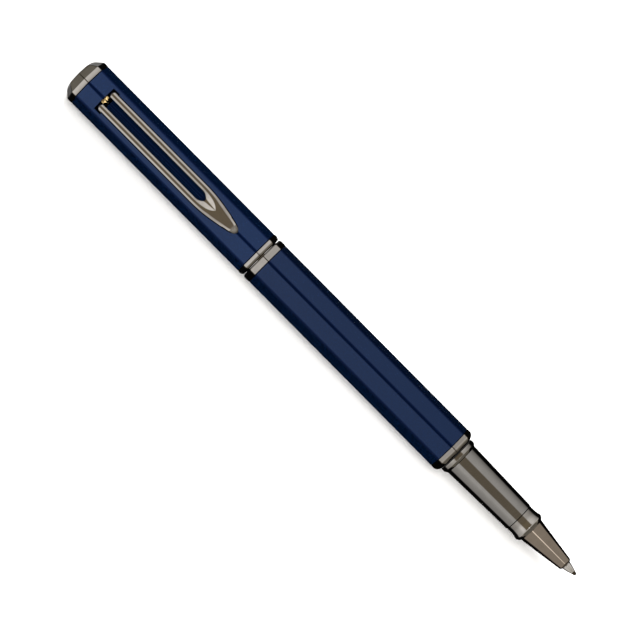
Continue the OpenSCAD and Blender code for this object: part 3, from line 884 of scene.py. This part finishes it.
def prism(bm, outline, z0, z1, turn):
    """outline: (x, y) points across the pen, pushed along it from z0 to z1."""
    a = [bm.verts.new(place(z0, x, y, turn)) for x, y in outline]
    b = [bm.verts.new(place(z1, x, y, turn)) for x, y in outline]
    n = len(outline)
    fs = [bm.faces.new((a[i], a[(i + 1) % n], b[(i + 1) % n], b[i])) for i in range(n)]
    fs += [bm.faces.new(a[::-1]), bm.faces.new(b)]
    bmesh.ops.recalc_face_normals(bm, faces=fs)


def wedge(bm, pts, x0, turn):
    """A small flat-topped boss: pts are its top corners (z, x, y), its sides run down to x0."""
    a = [bm.verts.new(place(z, x, y, turn)) for z, x, y in pts]
    b = [bm.verts.new(place(z, x0, y, turn)) for z, x, y in pts]
    n = len(pts)
    fs = [bm.faces.new((a[i], a[(i + 1) % n], b[(i + 1) % n], b[i])) for i in range(n)]
    fs += [bm.faces.new(a[::-1]), bm.faces.new(b)]
    bmesh.ops.recalc_face_normals(bm, faces=fs)


tg = bmesh.new()
prism(tg, [(2.75, -1.2), (4.3, -1.2), (4.6, -0.95), (4.72, -0.4), (4.5, 0.0), (4.72, 0.4), (4.6, 0.95), (4.3, 1.2), (2.75, 1.2)], Z_PLATE - 0.3, Z_CAP + 6.05, CAP_A)
t_tongue = temp_object("t6", tg)
TS = math.tan(math.radians(13.0))
for tri in ([(-78.85, -0.86), (-78.72, -0.12), (-78.0, -0.28)], [(-78.62, 0.12), (-77.9, 0.2), (-78.42, 0.84)]):
    wd = bmesh.new()
    wedge(wd, [(tz, 4.98 - (tz + 78.85) * TS, ty) for tz, ty in tri], 4.1, CAP_A)
    boolean(t_tongue, temp_object("t6b", wd), "UNION")
boolean(bk, t_tongue, "UNION")
hole = bmesh.new()
cyl_bm(hole, -6, 6, Z_PIN, 3.55, 0.5, "y", CAP_A)
boolean(bk, temp_object("t7", hole), "DIFFERENCE")
piece(remake(bk), "cap", "clip_bracket", "brass")
# painted shade: inside the slot the bracket is drawn dark brass, all but the tongue's upward-facing top facets
pieces[-1].data.materials.append(M["brass_painted_shade"])
for f in pieces[-1].data.polygons:
    c = f.center
    if c.x > -0.0795 and not (c.x > -0.0789 and c.y * up_y + (c.z - AX * MM) * up_z > 0.00476 and f.normal.y * up_y + f.normal.z * up_z > 0.9):
        f.material_index = 1


def cross_pin():
    n = 48
    z0, x0 = Z_PIN, 3.55
    prof = [(-CLIP_W, 0.0), (-CLIP_W, 0.42), (-CLIP_W + 0.08, 0.5), (CLIP_W - 0.08, 0.5), (CLIP_W, 0.42), (CLIP_W, 0.0)]
    rings = []
    for y, r in prof:
        if r == 0:
            rings.append([place(z0, x0, y, CAP_A)])
        else:
            rings.append([place(z0 + r * math.cos(2 * math.pi * k / n), x0 + r * math.sin(2 * math.pi * k / n), y, CAP_A) for k in range(n)])
    return rings_mesh("clip_pin_v", rings)


piece(cross_pin(), "cap", "clip_pin", "steel")
sc = lathe("crown_screw_v",
           [(Z_END + 1.4, 0.0), (Z_END + 1.4, 1.36), (Z_END + 1.55, 1.48), (Z_PLATE, 1.48), (Z_PLATE, 2.34), (Z_PLATE + 0.08, 2.4),
            (Z_PLATE + 1.3, 2.4), (Z_PLATE + 1.5, 2.2), (Z_PLATE + 1.5, 0.0)], 96)
sc.modifiers.clear()
sl = bmesh.new()
box_bm(sl, Z_PLATE + 0.8, Z_PLATE + 3, -3.2, 3.2, -0.35, 0.35, CAP_A + 90, 0.0)
boolean(sc, temp_object("t8", sl), "DIFFERENCE")
piece(remake(sc), "cap", "crown_screw", "steel")
piece(lathe("cap_plug_v", [(Z_CAP, 1.6), (Z_CAP, 5.38), (Z_CAP + 0.1, 5.48), (Z_PLUG - 0.1, 5.48), (Z_PLUG, 5.38), (Z_PLUG, 1.6)], 128, True), "cap", "cap_plug", "brass")
piece(lathe("cap_liner_v", [(Z_LINER, 0.0), (Z_LINER, 5.3), (Z_LINER + 0.18, 5.48), (Z_LINER_END - 0.1, 5.48), (Z_LINER_END, 5.38), (Z_LINER_END, 5.0),
                            (Z_LINER_END - 0.1, 4.9), (Z_LINER + 1.3, 4.9, 0.3), (Z_LINER + 1.0, 4.6), (Z_LINER + 1.0, 0.0)], 128), "cap", "cap_liner", "liner")


def torus(name, z, ring, wire, n=128, k=20, cut=None):
    rings = []
    for i in range(k):
        q = 2 * math.pi * i / k
        rings.append([place(z + wire * math.sin(q), (ring + wire * math.cos(q)) * math.cos(2 * math.pi * j / n), (ring + wire * math.cos(q)) * math.sin(2 * math.pi * j / n), CAP_A) for j in range(n)])
    if cut is None:
        return rings_mesh(name, rings, True)
    # open ring: leave out `cut` degrees about angle 0 and close the two ends
    bm = bmesh.new()
    a0, a1 = math.radians(cut / 2), math.radians(360 - cut / 2)
    rows = []
    for j in range(n + 1):
        a = a0 + (a1 - a0) * j / n
        rows.append([bm.verts.new(place(z + wire * math.sin(2 * math.pi * i / k), (ring + wire * math.cos(2 * math.pi * i / k)) * math.cos(a), (ring + wire * math.cos(2 * math.pi * i / k)) * math.sin(a), CAP_A)) for i in range(k)])
    for j in range(n):
        for i in range(k):
            bm.faces.new((rows[j][i], rows[j][(i + 1) % k], rows[j + 1][(i + 1) % k], rows[j + 1][i]))
    bm.faces.new(rows[0])
    bm.faces.new(rows[-1][::-1])
    return finish_mesh(name, bm)


piece(torus("cap_snap_ring_v", Z_LIP + 0.55, 5.38, 0.2, cut=10.6), "cap", "cap_snap_ring", "steel")


def coil(name, z0, z1, r, wire, turns, dead=0.8, seg=36, side=14, a0=0.0):
    """A compression spring: pitch opens out over the first turn at each end."""
    total = turns * seg
    span = z1 - z0 - 2 * wire
    ws = []
    for i in range(total + 1):
        t = i / seg
        f = min(1.0, max(0.0, (t - 0.15) / dead)) * min(1.0, max(0.0, (turns - t - 0.15) / dead))
        ws.append(0.12 + 0.88 * f)
    acc, s = [0.0], 0.0
    for i in range(total):
        s += (ws[i] + ws[i + 1]) / 2
        acc.append(s)
    bm = bmesh.new()
    rows = []
    for i in range(total + 1):
        a = a0 + 2 * math.pi * i / seg
        z = z0 + wire + span * acc[i] / s
        rows.append([bm.verts.new(place(z + wire * math.sin(2 * math.pi * k / side), (r + wire * math.cos(2 * math.pi * k / side)) * math.cos(a),
                                        (r + wire * math.cos(2 * math.pi * k / side)) * math.sin(a), CAP_A)) for k in range(side)])
    for i in range(total):
        for k in range(side):
            bm.faces.new((rows[i][k], rows[i][(k + 1) % side], rows[i + 1][(k + 1) % side], rows[i + 1][k]))
    bm.faces.new(rows[0])
    bm.faces.new(rows[-1][::-1])
    return finish_mesh(name, bm, 60.0)


piece(coil("clip_spring_v", Z_CAP + 5.8, Z_LINER - 0.05, 1.5, 0.2, 4), "cap", "clip_spring", "steel")
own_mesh(pieces[-1])

# ---------------------------------------------------------------- barrel
r = RING
piece(octo("tail_ring_v", [(Z_TAIL, 5.5), (Z_TAIL, r - 0.44), (Z_TAIL + 0.16, r - 0.2, 0.12), (Z_TAIL + 0.5, r, 0.2), (Z_BARREL - 0.2, r, 0.03), (Z_BARREL, r - 0.14), (Z_BARREL, 5.5)],
            [(Z_BARREL, 4.5), (Z_TAIL, 4.5)], BARREL_A, 0.34), "barrel", "tail_ring", "barrelring")
joint(pieces[-1], Z_BARREL - 0.17, Z_BARREL + 0.1)
joint(pieces[-1], Z_TAIL - 0.1, Z_TAIL + 0.3)
q = 0.14 / COS8
piece(octo("barrel_shell_v", [(Z_BARREL, 5.6), (Z_BARREL, BODY, 0.13), (Z_FRONT, BODY, 0.13), (Z_FRONT, 5.6)],
            [(Z_FRONT, 5.0), (Z_BARREL, 5.0)], BARREL_A, LAC_E, arc=10, flat=8), "barrel", "barrel_shell", "lacquer2")
r = 6.47
piece(octo("barrel_front_ring_v", [(Z_FRONT, 5.6), (Z_FRONT, r - 0.12), (Z_FRONT + 0.12, r, 0.06), (Z_SECT - 1.15, r, 0.5), (Z_SECT - 0.62, r - 0.26, 0.6), (Z_SECT - 0.22, r - 0.85, 0.4), (Z_SECT, r - 1.33, 0.15), (Z_SECT, 4.95)],
            [(Z_SECT, 4.62), (Z_FRONT, 4.62)], BARREL_A, 0.3, arc=6), "barrel", "barrel_front_ring", "barrelring")
joint(pieces[-1], Z_FRONT - 0.1, Z_FRONT + 0.17)
joint(pieces[-1], Z_SECT - 0.12, Z_SECT + 0.1, 1)
P = 5.1
piece(lathe("tail_post_v", [(Z_POST, 3.5), (Z_POST, P - 0.9, 0.1), (Z_POST + 0.25, P - 0.3, 0.3), (Z_POST + 0.8, P, 0.4), (Z_GROOVE - 0.05, P), (Z_GROOVE, P - 0.05), (Z_GROOVE, 4.6, 0.06), (Z_GROOVE + 0.72, 4.6, 0.06),
                           (Z_GROOVE + 0.72, P - 0.05), (Z_GROOVE + 0.77, P), (Z_TAIL - 0.02, P), (Z_TAIL - 0.02, 4.48), (Z_STEM - 0.1, 4.48), (Z_STEM, 4.38), (Z_STEM, 3.4), (Z_POST + 1.8, 3.4), (Z_POST + 1.8, 0.0)], 128)
      if False else
      lathe("tail_post_v", [(Z_POST + 0.12, 0.0), (Z_POST + 0.12, 2.6, 0.1), (Z_POST, 2.8, 0.1), (Z_POST, P - 0.9, 0.1), (Z_POST + 0.25, P - 0.3, 0.3), (Z_POST + 0.8, P, 0.4), (Z_GROOVE - 0.05, P), (Z_GROOVE, P - 0.05), (Z_GROOVE, 4.6, 0.06),
                            (Z_GROOVE + 0.72, 4.6, 0.06), (Z_GROOVE + 0.72, P - 0.05), (Z_GROOVE + 0.77, P), (Z_TAIL, P), (Z_TAIL, 4.48), (Z_STEM - 0.1, 4.48), (Z_STEM, 4.38), (Z_STEM, 3.5), (Z_STEM - 0.1, 3.4),
                            (Z_POST + 1.8, 3.4), (Z_POST + 1.8, 0.0)], 128),
      "barrel", "tail_post", "gunmetal")
piece(torus("post_ring_v", Z_GROOVE + 0.36, P - 0.18, 0.29), "post_ring", "post_ring", "rubber")
piece(lathe("tail_bush_v", [(Z_BARREL, 4.5), (Z_BARREL, 4.98), (Z_STEM - 0.1, 4.98), (Z_STEM, 4.88), (Z_STEM, 4.5)], 128, True), "barrel", "tail_bush", "brass")
piece(lathe("barrel_front_bush_v", [(Z_BUSH, 4.62), (Z_BUSH, 4.88), (Z_BUSH + 0.1, 4.98), (Z_FRONT, 4.98), (Z_FRONT, 4.62)], 128, True), "barrel", "barrel_front_bush", "brass")
piece(coil("refill_spring_v", Z_POST + 1.82, Z_REF + 1.78, 2.4, 0.25, 6, seg=40), "barrel", "refill_spring", "steel")
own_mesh(pieces[-1])

# ---------------------------------------------------------------- writing section
piece(lathe("section_seal_v", [(Z_SECT + 0.02, 4.6), (Z_SECT + 0.02, 4.96), (Z_SECT + 0.06, 5.0), (Z_SECT + 0.12, 5.0), (Z_SECT + 0.16, 4.96), (Z_SECT + 0.16, 4.6)], 128, True), "seal", "section_seal", "rubber")
r = 5.19
z0 = Z_SECT + 0.18
piece(lathe("section_collar_v", [(z0, 3.8), (z0, r - 0.1), (z0 + 0.1, r, 0.06), (Z_GRIP - 0.68, r, 0.1), (Z_GRIP - 0.08, r - 0.42, 0.12), (Z_GRIP, r - 0.5), (Z_GRIP, 3.8)], 160, True), "section", "section_collar", "collar")
joint(pieces[-1], z0 - 0.1, z0 + 0.09)
joint(pieces[-1], Z_GRIP - 0.08, Z_GRIP + 0.1)


def build_core():
    ro, pitch, depth = 4.58, 0.75, 0.24
    z1 = Z_SECT + 0.18
    za, n, per = Z_SECT - 11.5, 96, 10
    rings = []
    rings.append([place(za, 3.35 * math.cos(2 * math.pi * j / n), 3.35 * math.sin(2 * math.pi * j / n), BARREL_A) for j in range(n)])
    m = int(round((11.5 - 1.2) / pitch * per))
    for i in range(m + 1):
        z = za + (11.5 - 1.2) * i / m
        row = []
        for j in range(n):
            t = ((z - za) / pitch - j / n) % 1.0
            v = min(1.0, abs(t - 0.5) / 0.34)          # 0 at the groove's bottom, 1 on the crest
            fade = min(1.0, (z - za) / 0.5 + 0.0) * min(1.0, max(0.0, (11.5 - 1.2 - (z - za)) / 0.4))
            lead = min(0.0, (z - za) - 0.4) * 0.8
            rr = ro - depth * (1 - v) * fade + lead
            a = 2 * math.pi * j / n
            row.append(place(z, rr * math.cos(a), rr * math.sin(a), BARREL_A))
        rings.append(row)
    for z, rr in ((Z_SECT - 1.2, ro - 0.02), (Z_SECT - 1.1, ro), (z1, ro), (z1, 3.79), (Z_NOSE - 0.45, 3.79), (Z_NOSE - 0.4, 3.74), (Z_NOSE - 0.4, 3.35)):
        rings.append([place(z, rr * math.cos(2 * math.pi * j / n), rr * math.sin(2 * math.pi * j / n), BARREL_A) for j in range(n)])
    return rings_mesh("section_core_v", rings, True, 50.0)


piece(build_core(), "section", "section_core", "brass")
g1, g2 = 4.66, 4.16
piece(lathe("grip_sleeve_v", [(Z_GRIP, 3.8), (Z_GRIP, g1 - 0.08), (Z_GRIP + 0.08, g1, 0.05), (Z_FLARE - 0.1, g2, 0.02), (Z_FLARE, g2 - 0.12), (Z_FLARE, 3.8)], 160, True), "section", "grip_sleeve", "grip")
joint(pieces[-1], Z_GRIP - 0.1, Z_GRIP + 0.08)
joint(pieces[-1], Z_FLARE - 0.11, Z_FLARE + 0.1)
n = Z_NOSE
flare = smooth_path([(Z_FLARE + 0.12, 4.0), (n - 3.4, 4.0), (n - 2.9, 4.012), (n - 2.4, 4.06), (n - 1.9, 4.15), (n - 1.5, 4.26), (n - 1.25, 4.33)], 0.12)
piece(lathe("flared_ring_v", [(Z_FLARE, 3.8), (Z_FLARE, 3.9)] + flare + [(n - 1.1, 4.34, 0.2), (n - 0.92, 4.31, 0.3), (n - 0.4, 4.02, 0.4), (n - 0.1, 3.72, 0.2), (n, 3.62), (n, 3.58), (n - 0.36, 3.58), (n - 0.36, 3.8)], 160, True),
      "section", "flared_ring", "gunmetal")
a, b = 3.53, 1.84
z, p = Z_NOSE, Z_POINT
piece(lathe("nose_cone_v", [(Z_SHOULDER + 0.36, 2.45), (Z_SHOULDER + 0.36, 3.33), (z - 0.4, 3.33), (z - 0.4, 3.55), (z - 0.1, 3.55), (z + 0.05, a - 0.05, 0.05), (z + 0.12, a - 0.02, 0.05), (p - 0.5, b, 0.25),
                           (p - 0.25, b - 0.10, 0.2), (p - 0.06, b - 0.32, 0.1), (p, b - 0.42), (p, 1.31), (p - 3.6, 1.31), (z + 1.7, 2.45)], 160, True), "section", "nose_cone", "nose")

# ---------------------------------------------------------------- refill
s = Z_SHOULDER
piece(lathe("refill_tube_v", [(Z_REF + 2.8, 2.75), (Z_REF + 2.8, 3.0), (Z_REF + 2.86, 3.05), (s - 0.86, 3.05), (s - 0.8, 3.0), (s - 0.8, 2.75)], 96, True), "refill", "refill_tube", "refill")
piece(lathe("refill_plug_v", [(Z_REF, 0.0), (Z_REF, 1.6, 0.1), (Z_REF + 0.2, 1.8, 0.1), (Z_REF + 1.8, 1.8), (Z_REF + 1.8, 3.0), (Z_REF + 1.86, 3.05), (Z_REF + 2.8, 3.05), (Z_REF + 2.8, 2.73), (Z_REF + 4.7, 2.73), (Z_REF + 4.8, 2.6), (Z_REF + 4.8, 0.0)], 96), "refill", "refill_plug", "plug")
piece(lathe("ink_wick_v", [(Z_REF + 5.3, 0.3), (Z_REF + 5.3, 2.6, 0.1), (Z_REF + 5.4, 2.7), (s - 3.8, 2.7), (s - 3.7, 2.6), (s - 3.7, 0.3)], 96, True), "refill", "ink_wick", "fibre")
piece(lathe("refill_feeder_v", [(s - 3.2, 0.3), (s - 3.2, 2.73), (s - 0.8, 2.73), (s - 0.8, 3.05), (s + 0.24, 3.05), (s + 0.3, 2.99), (s + 0.3, 2.1), (Z_NOSE + 1.6, 2.1), (Z_NOSE + 1.7, 2.05), (Z_POINT - 3.7, 1.25),
                               (Z_POINT - 3.7, 0.9), (Z_POINT - 7.7, 0.9), (Z_POINT - 7.7, 0.3)], 96, True), "refill", "refill_feeder", "refill")
piece(lathe("feed_rod_v", [(s - 8, 0.0), (s - 8, 0.22), (s - 7.97, 0.25), (Z_BALL - 0.43, 0.25), (Z_BALL - 0.4, 0.22), (Z_BALL - 0.4, 0.0)], 32), "refill", "feed_rod", "fibre")
t = Z_TIP
tipc = smooth_path([(p + 0.5, 1.19), (p + 1, 1.07), (p + 1.5, 0.94), (p + 2, 0.79), (p + 2.42, 0.66), (p + 2.6, 0.60), (p + 2.72, 0.55)], 0.12)
piece(lathe("writing_point_v", [(p - 7.7, 0.3), (p - 7.7, 0.85), (p - 7.66, 0.88), (p - 3.68, 0.88), (p - 3.68, 1.25), (p + 0.25, 1.25, 0.2)] + tipc +
            [(p + 2.78, 0.535), (t - 0.5, 0.48, 0.1), (t - 0.3, 0.42, 0.05), (t - 0.26, 0.37), (Z_BALL - 0.02, 0.37), (Z_BALL - 0.18, 0.325), (Z_BALL - 0.215, 0.3)], 96, True), "refill", "writing_point", "tip")
# painted shade: the writing point's last 1.02 mm gets a dark brown metal
pieces[-1].data.materials.append(M["pointend_painted_shade"])
for f in pieces[-1].data.polygons:
    if f.center.x > (Z_TIP - 1.02) * MM:
        f.material_index = 1


def ball():
    n, k = 48, 24
    rings = [[place(Z_BALL - 0.35, 0, 0, 0)]]
    for i in range(1, k):
        q = math.pi * i / k
        rings.append([place(Z_BALL - 0.35 * math.cos(q), 0.35 * math.sin(q) * math.cos(2 * math.pi * j / n), 0.35 * math.sin(q) * math.sin(2 * math.pi * j / n), BARREL_A) for j in range(n)])
    rings.append([place(Z_BALL + 0.35, 0, 0, 0)])
    return rings_mesh("writing_ball_v", rings)


piece(ball(), "ball", "writing_ball", "ball")

# ---------------------------------------------------------------- stage: floor, light, camera
def floor_material():
    m = Mat("floor_white").set(Roughness=0.9)
    m.b.inputs["Specular IOR Level"].default_value = 0.0
    n = m.noise(40, (1, 1, 1), 3, 0.5)
    m.to("Base Color", m.mix(m.span(n, 0.0, 1.0, 0.3, 0.7), (0.93, 0.93, 0.93), (0.915, 0.915, 0.915)))
    return m.m


bmf = bmesh.new()
S = 1.6
nf = 8
vf = [[bmf.verts.new((-S + 2 * S * i / nf, -S + 2 * S * j / nf, 0.0)) for j in range(nf + 1)] for i in range(nf + 1)]
for i in range(nf):
    for j in range(nf):
        bmf.faces.new((vf[i][j], vf[i + 1][j], vf[i + 1][j + 1], vf[i][j + 1]))
mef = bpy.data.meshes.new("floor")
bmf.to_mesh(mef)
bmf.free()
floor = bpy.data.objects.new("floor", mef)
bpy.context.scene.collection.objects.link(floor)
floor.data.materials.append(floor_material())
floor.visible_glossy = False

# world: a soft studio, two long soft boxes either side of the camera, dim behind it and dark below
CAM_PHI = 117.7
world = bpy.data.worlds.new("studio")
bpy.context.scene.world = world
world.use_nodes = True
wt = world.node_tree
wt.nodes.clear()
wo = wt.nodes.new("ShaderNodeOutputWorld")
bg = wt.nodes.new("ShaderNodeBackground")
wt.links.new(bg.outputs[0], wo.inputs[0])
tc = wt.nodes.new("ShaderNodeTexCoord")
sp = wt.nodes.new("ShaderNodeSeparateXYZ")
rot = wt.nodes.new("ShaderNodeVectorRotate")
rot.rotation_type = "X_AXIS"
rot.inputs["Angle"].default_value = -math.radians(CAM_PHI)
wt.links.new(tc.outputs["Generated"], rot.inputs["Vector"])
wt.links.new(rot.outputs[0], sp.inputs[0])


def wmath(op, a, b=None, c=None):
    n = wt.nodes.new("ShaderNodeMath")
    n.operation = op
    for i, v in enumerate((a, b, c)):
        if v is None:
            continue
        if isinstance(v, (int, float)):
            n.inputs[i].default_value = v
        else:
            wt.links.new(v, n.inputs[i])
    return n.outputs[0]


psi = wmath("MULTIPLY", wmath("ARCTAN2", sp.outputs["Z"], sp.outputs["Y"]), 180 / math.pi)     # 0 behind the camera
alpha = wmath("MULTIPLY", wmath("ARCSINE", sp.outputs["X"]), 180 / math.pi)                    # towards the pen's tip
fac = wmath("ADD", wmath("DIVIDE", psi, 360), 0.5)


def ramp(fac, stops):
    r = wt.nodes.new("ShaderNodeValToRGB")
    r.color_ramp.interpolation = "LINEAR"
    el = r.color_ramp.elements
    while len(el) > 1:
        el.remove(el[0])
    for i, (pos, c) in enumerate(stops):
        if i == 0:
            el[0].position = pos
            e = el[0]
        else:
            e = el.new(pos)
        e.color = (*c, 1.0)
    wt.links.new(fac, r.inputs[0])
    return r.outputs[0]


def at(a):
    return a / 360 + 0.5


def grey(v, t=(1.0, 0.985, 0.965)):
    return (v * t[0], v * t[1], v * t[2])


BLACK = (0.003, 0.003, 0.003)
UNDER = (0.26, 0.26, 0.26)
DIM = (0.18, 0.148, 0.101)
WARM = (1.0, 0.84, 0.68)
# round the pen's axis: 0 is behind the camera
band = ramp(fac, [
    (at(-180), UNDER), (at(-163), UNDER), (at(-153), BLACK), (at(-106), BLACK),
    (at(-102), grey(0.20)), (at(-90), grey(0.40)), (at(-72), grey(0.58)), (at(-60), grey(0.68)), (at(-45), grey(0.75)), (at(-31), grey(0.75)), (at(-26), DIM), (at(0), DIM),
    (at(24), DIM), (at(29), grey(0.8)), (at(46), grey(0.84)), (at(54), grey(0.72)), (at(64), grey(0.62)), (at(86), grey(0.52)), (at(101), grey(0.45)), (at(106), BLACK),
    (at(153), BLACK), (at(163), UNDER), (at(180), UNDER)])
front = ramp(fac, [(at(-180), BLACK), (at(-106), BLACK), (at(-100), grey(1)), (at(100), grey(1)), (at(106), BLACK), (at(180), BLACK)])
# along the pen: towards the cap is brighter, past the tip one even warm panel, beyond both ends dim
afac = wmath("ADD", wmath("DIVIDE", alpha, 180), 0.5)


def al(a):
    return a / 180 + 0.5


def flat(v):
    return (v, v, v)


gain = ramp(afac, [(al(-90), flat(0)), (al(-66), flat(0)), (al(-55), flat(0.6)), (al(-45), flat(1.0)), (al(-20), flat(1.05)), (al(-12), flat(1.05)), (al(-5), flat(0.9)),
                   (al(-1), flat(0.88)), (al(3.3), flat(0.60)), (al(9), flat(0.53)), (al(12), flat(0.35)), (al(15), flat(0)), (al(90), flat(0))])
panel = ramp(afac, [(al(-90), grey(0.17, (1, 0.94, 0.82))), (al(-66), grey(0.17, (1, 0.94, 0.8))), (al(-55), grey(0.06, WARM)), (al(-45), flat(0)), (al(-1), flat(0)), (al(3.3), grey(0.05, WARM)), (al(8), grey(0.06, WARM)),
                    (al(14), grey(0.66, (1, 0.97, 0.93))), (al(27), grey(0.72, (1, 0.97, 0.93))), (al(40), grey(0.5, (1, 0.94, 0.84))), (al(46), grey(0.3, (1, 0.94, 0.84))), (al(52), grey(0.15, (1, 0.93, 0.75))), (al(90), grey(0.17, (1, 0.93, 0.8)))])


def vmath(op, a, b):
    n = wt.nodes.new("ShaderNodeVectorMath")
    n.operation = op
    for i, v in enumerate((a, b)):
        if isinstance(v, tuple):
            n.inputs[i].default_value = v
        else:
            wt.links.new(v, n.inputs[i])
    return n.outputs[0]


def soft(value, a, b):
    """0 below a, 1 above b, smooth between."""
    n = wt.nodes.new("ShaderNodeMapRange")
    n.interpolation_type = "SMOOTHSTEP"
    n.inputs["From Min"].default_value = a
    n.inputs["From Max"].default_value = b
    wt.links.new(value, n.inputs["Value"])
    return n.outputs[0]


ends = soft(wmath("ABSOLUTE", alpha), 50, 62)
cover = wmath("MAXIMUM", front, ends)
sc1 = wt.nodes.new("ShaderNodeVectorMath")
sc1.operation = "SCALE"
wt.links.new(panel, sc1.inputs[0])
wt.links.new(cover, sc1.inputs["Scale"])
strip = wmath("MULTIPLY", wmath("SUBTRACT", 1.0, soft(wmath("ABSOLUTE", psi), 3.0, 5.5)), wmath("MULTIPLY", soft(alpha, 13.0, 16.0), wmath("SUBTRACT", 1.0, soft(alpha, 25.0, 28.0))))
sc2 = wt.nodes.new("ShaderNodeVectorMath")
sc2.operation = "SCALE"
sc2.inputs[0].default_value = (1.7, 1.7, 1.7)
wt.links.new(strip, sc2.inputs["Scale"])
light = vmath("ADD", vmath("ADD", vmath("MULTIPLY", band, gain), sc1.outputs[0]), sc2.outputs[0])
sc3 = wt.nodes.new("ShaderNodeVectorMath")
sc3.operation = "SCALE"
wt.links.new(light, sc3.inputs[0])
sc3.inputs["Scale"].default_value = 1.2
wt.links.new(sc3.outputs[0], bg.inputs["Color"])
bg.inputs["Strength"].default_value = 1.0


def area(name, loc, size, power, target=(0, 0, 0.006), col=(1, 1, 1)):
    li = bpy.data.lights.new(name, "AREA")
    li.shape = "DISK"
    li.size = size
    li.energy = power
    li.color = col
    o = bpy.data.objects.new(name, li)
    o.location = loc
    d = Vector(target) - Vector(loc)
    o.rotation_mode = "QUATERNION"
    o.rotation_quaternion = d.to_track_quat("-Z", "Y")
    bpy.context.scene.collection.objects.link(o)
    o.visible_glossy = False
    return o


area("key", (-0.25, 0.45, 0.75), 0.5, 9.0)
area("fill", (0.1, -0.2, 0.95), 0.7, 6.0)
area("side", (0.05, -0.6, 0.32), 0.5, 3.5)

cam_d = bpy.data.cameras.new("camera")
cam = bpy.data.objects.new("camera", cam_d)
bpy.context.scene.collection.objects.link(cam)
cam_d.sensor_width = 36.0
DIST = 0.895
el = math.radians(27.7)
toward = Vector((0, -math.sin(el), math.cos(el)))          # from the pen to the camera
hplus = Vector((0, math.cos(el), math.sin(el)))             # across the pen, up-right in the picture
axis_pt = Vector((-0.0081, 0, AX * MM))
centre = Vector((-0.00215, 0, AX * MM)) + hplus * (-0.00055)
cam.location = axis_pt + toward * DIST
look = centre - cam.location
roll = math.radians(45.2436)
# picture right and up, so that +X runs down-right
fwd = look.normalized()
xa = Vector((1, 0, 0))
xa = (xa - fwd * xa.dot(fwd)).normalized()
ha = xa.cross(fwd) * -1
if ha.dot(hplus) < 0:
    ha = -ha
right = xa * math.cos(roll) + ha * math.sin(roll)
up = -xa * math.sin(roll) + ha * math.cos(roll)
cam.matrix_world = Matrix(((right.x, up.x, -fwd.x, cam.location.x), (right.y, up.y, -fwd.y, cam.location.y), (right.z, up.z, -fwd.z, cam.location.z), (0, 0, 0, 1)))
# 4 px per mm at the axis across a 640 px frame, which is 160 mm
cam_d.lens = 36.0 * look.length / 0.160
cam_d.clip_start = 0.05
cam_d.clip_end = 20
bpy.context.scene.camera = cam
vs = bpy.context.scene.view_settings
vs.view_transform = "Standard"
vs.look = "None"
vs.exposure = 0.0
vs.gamma = 1.0

bpy.context.view_layer.update()
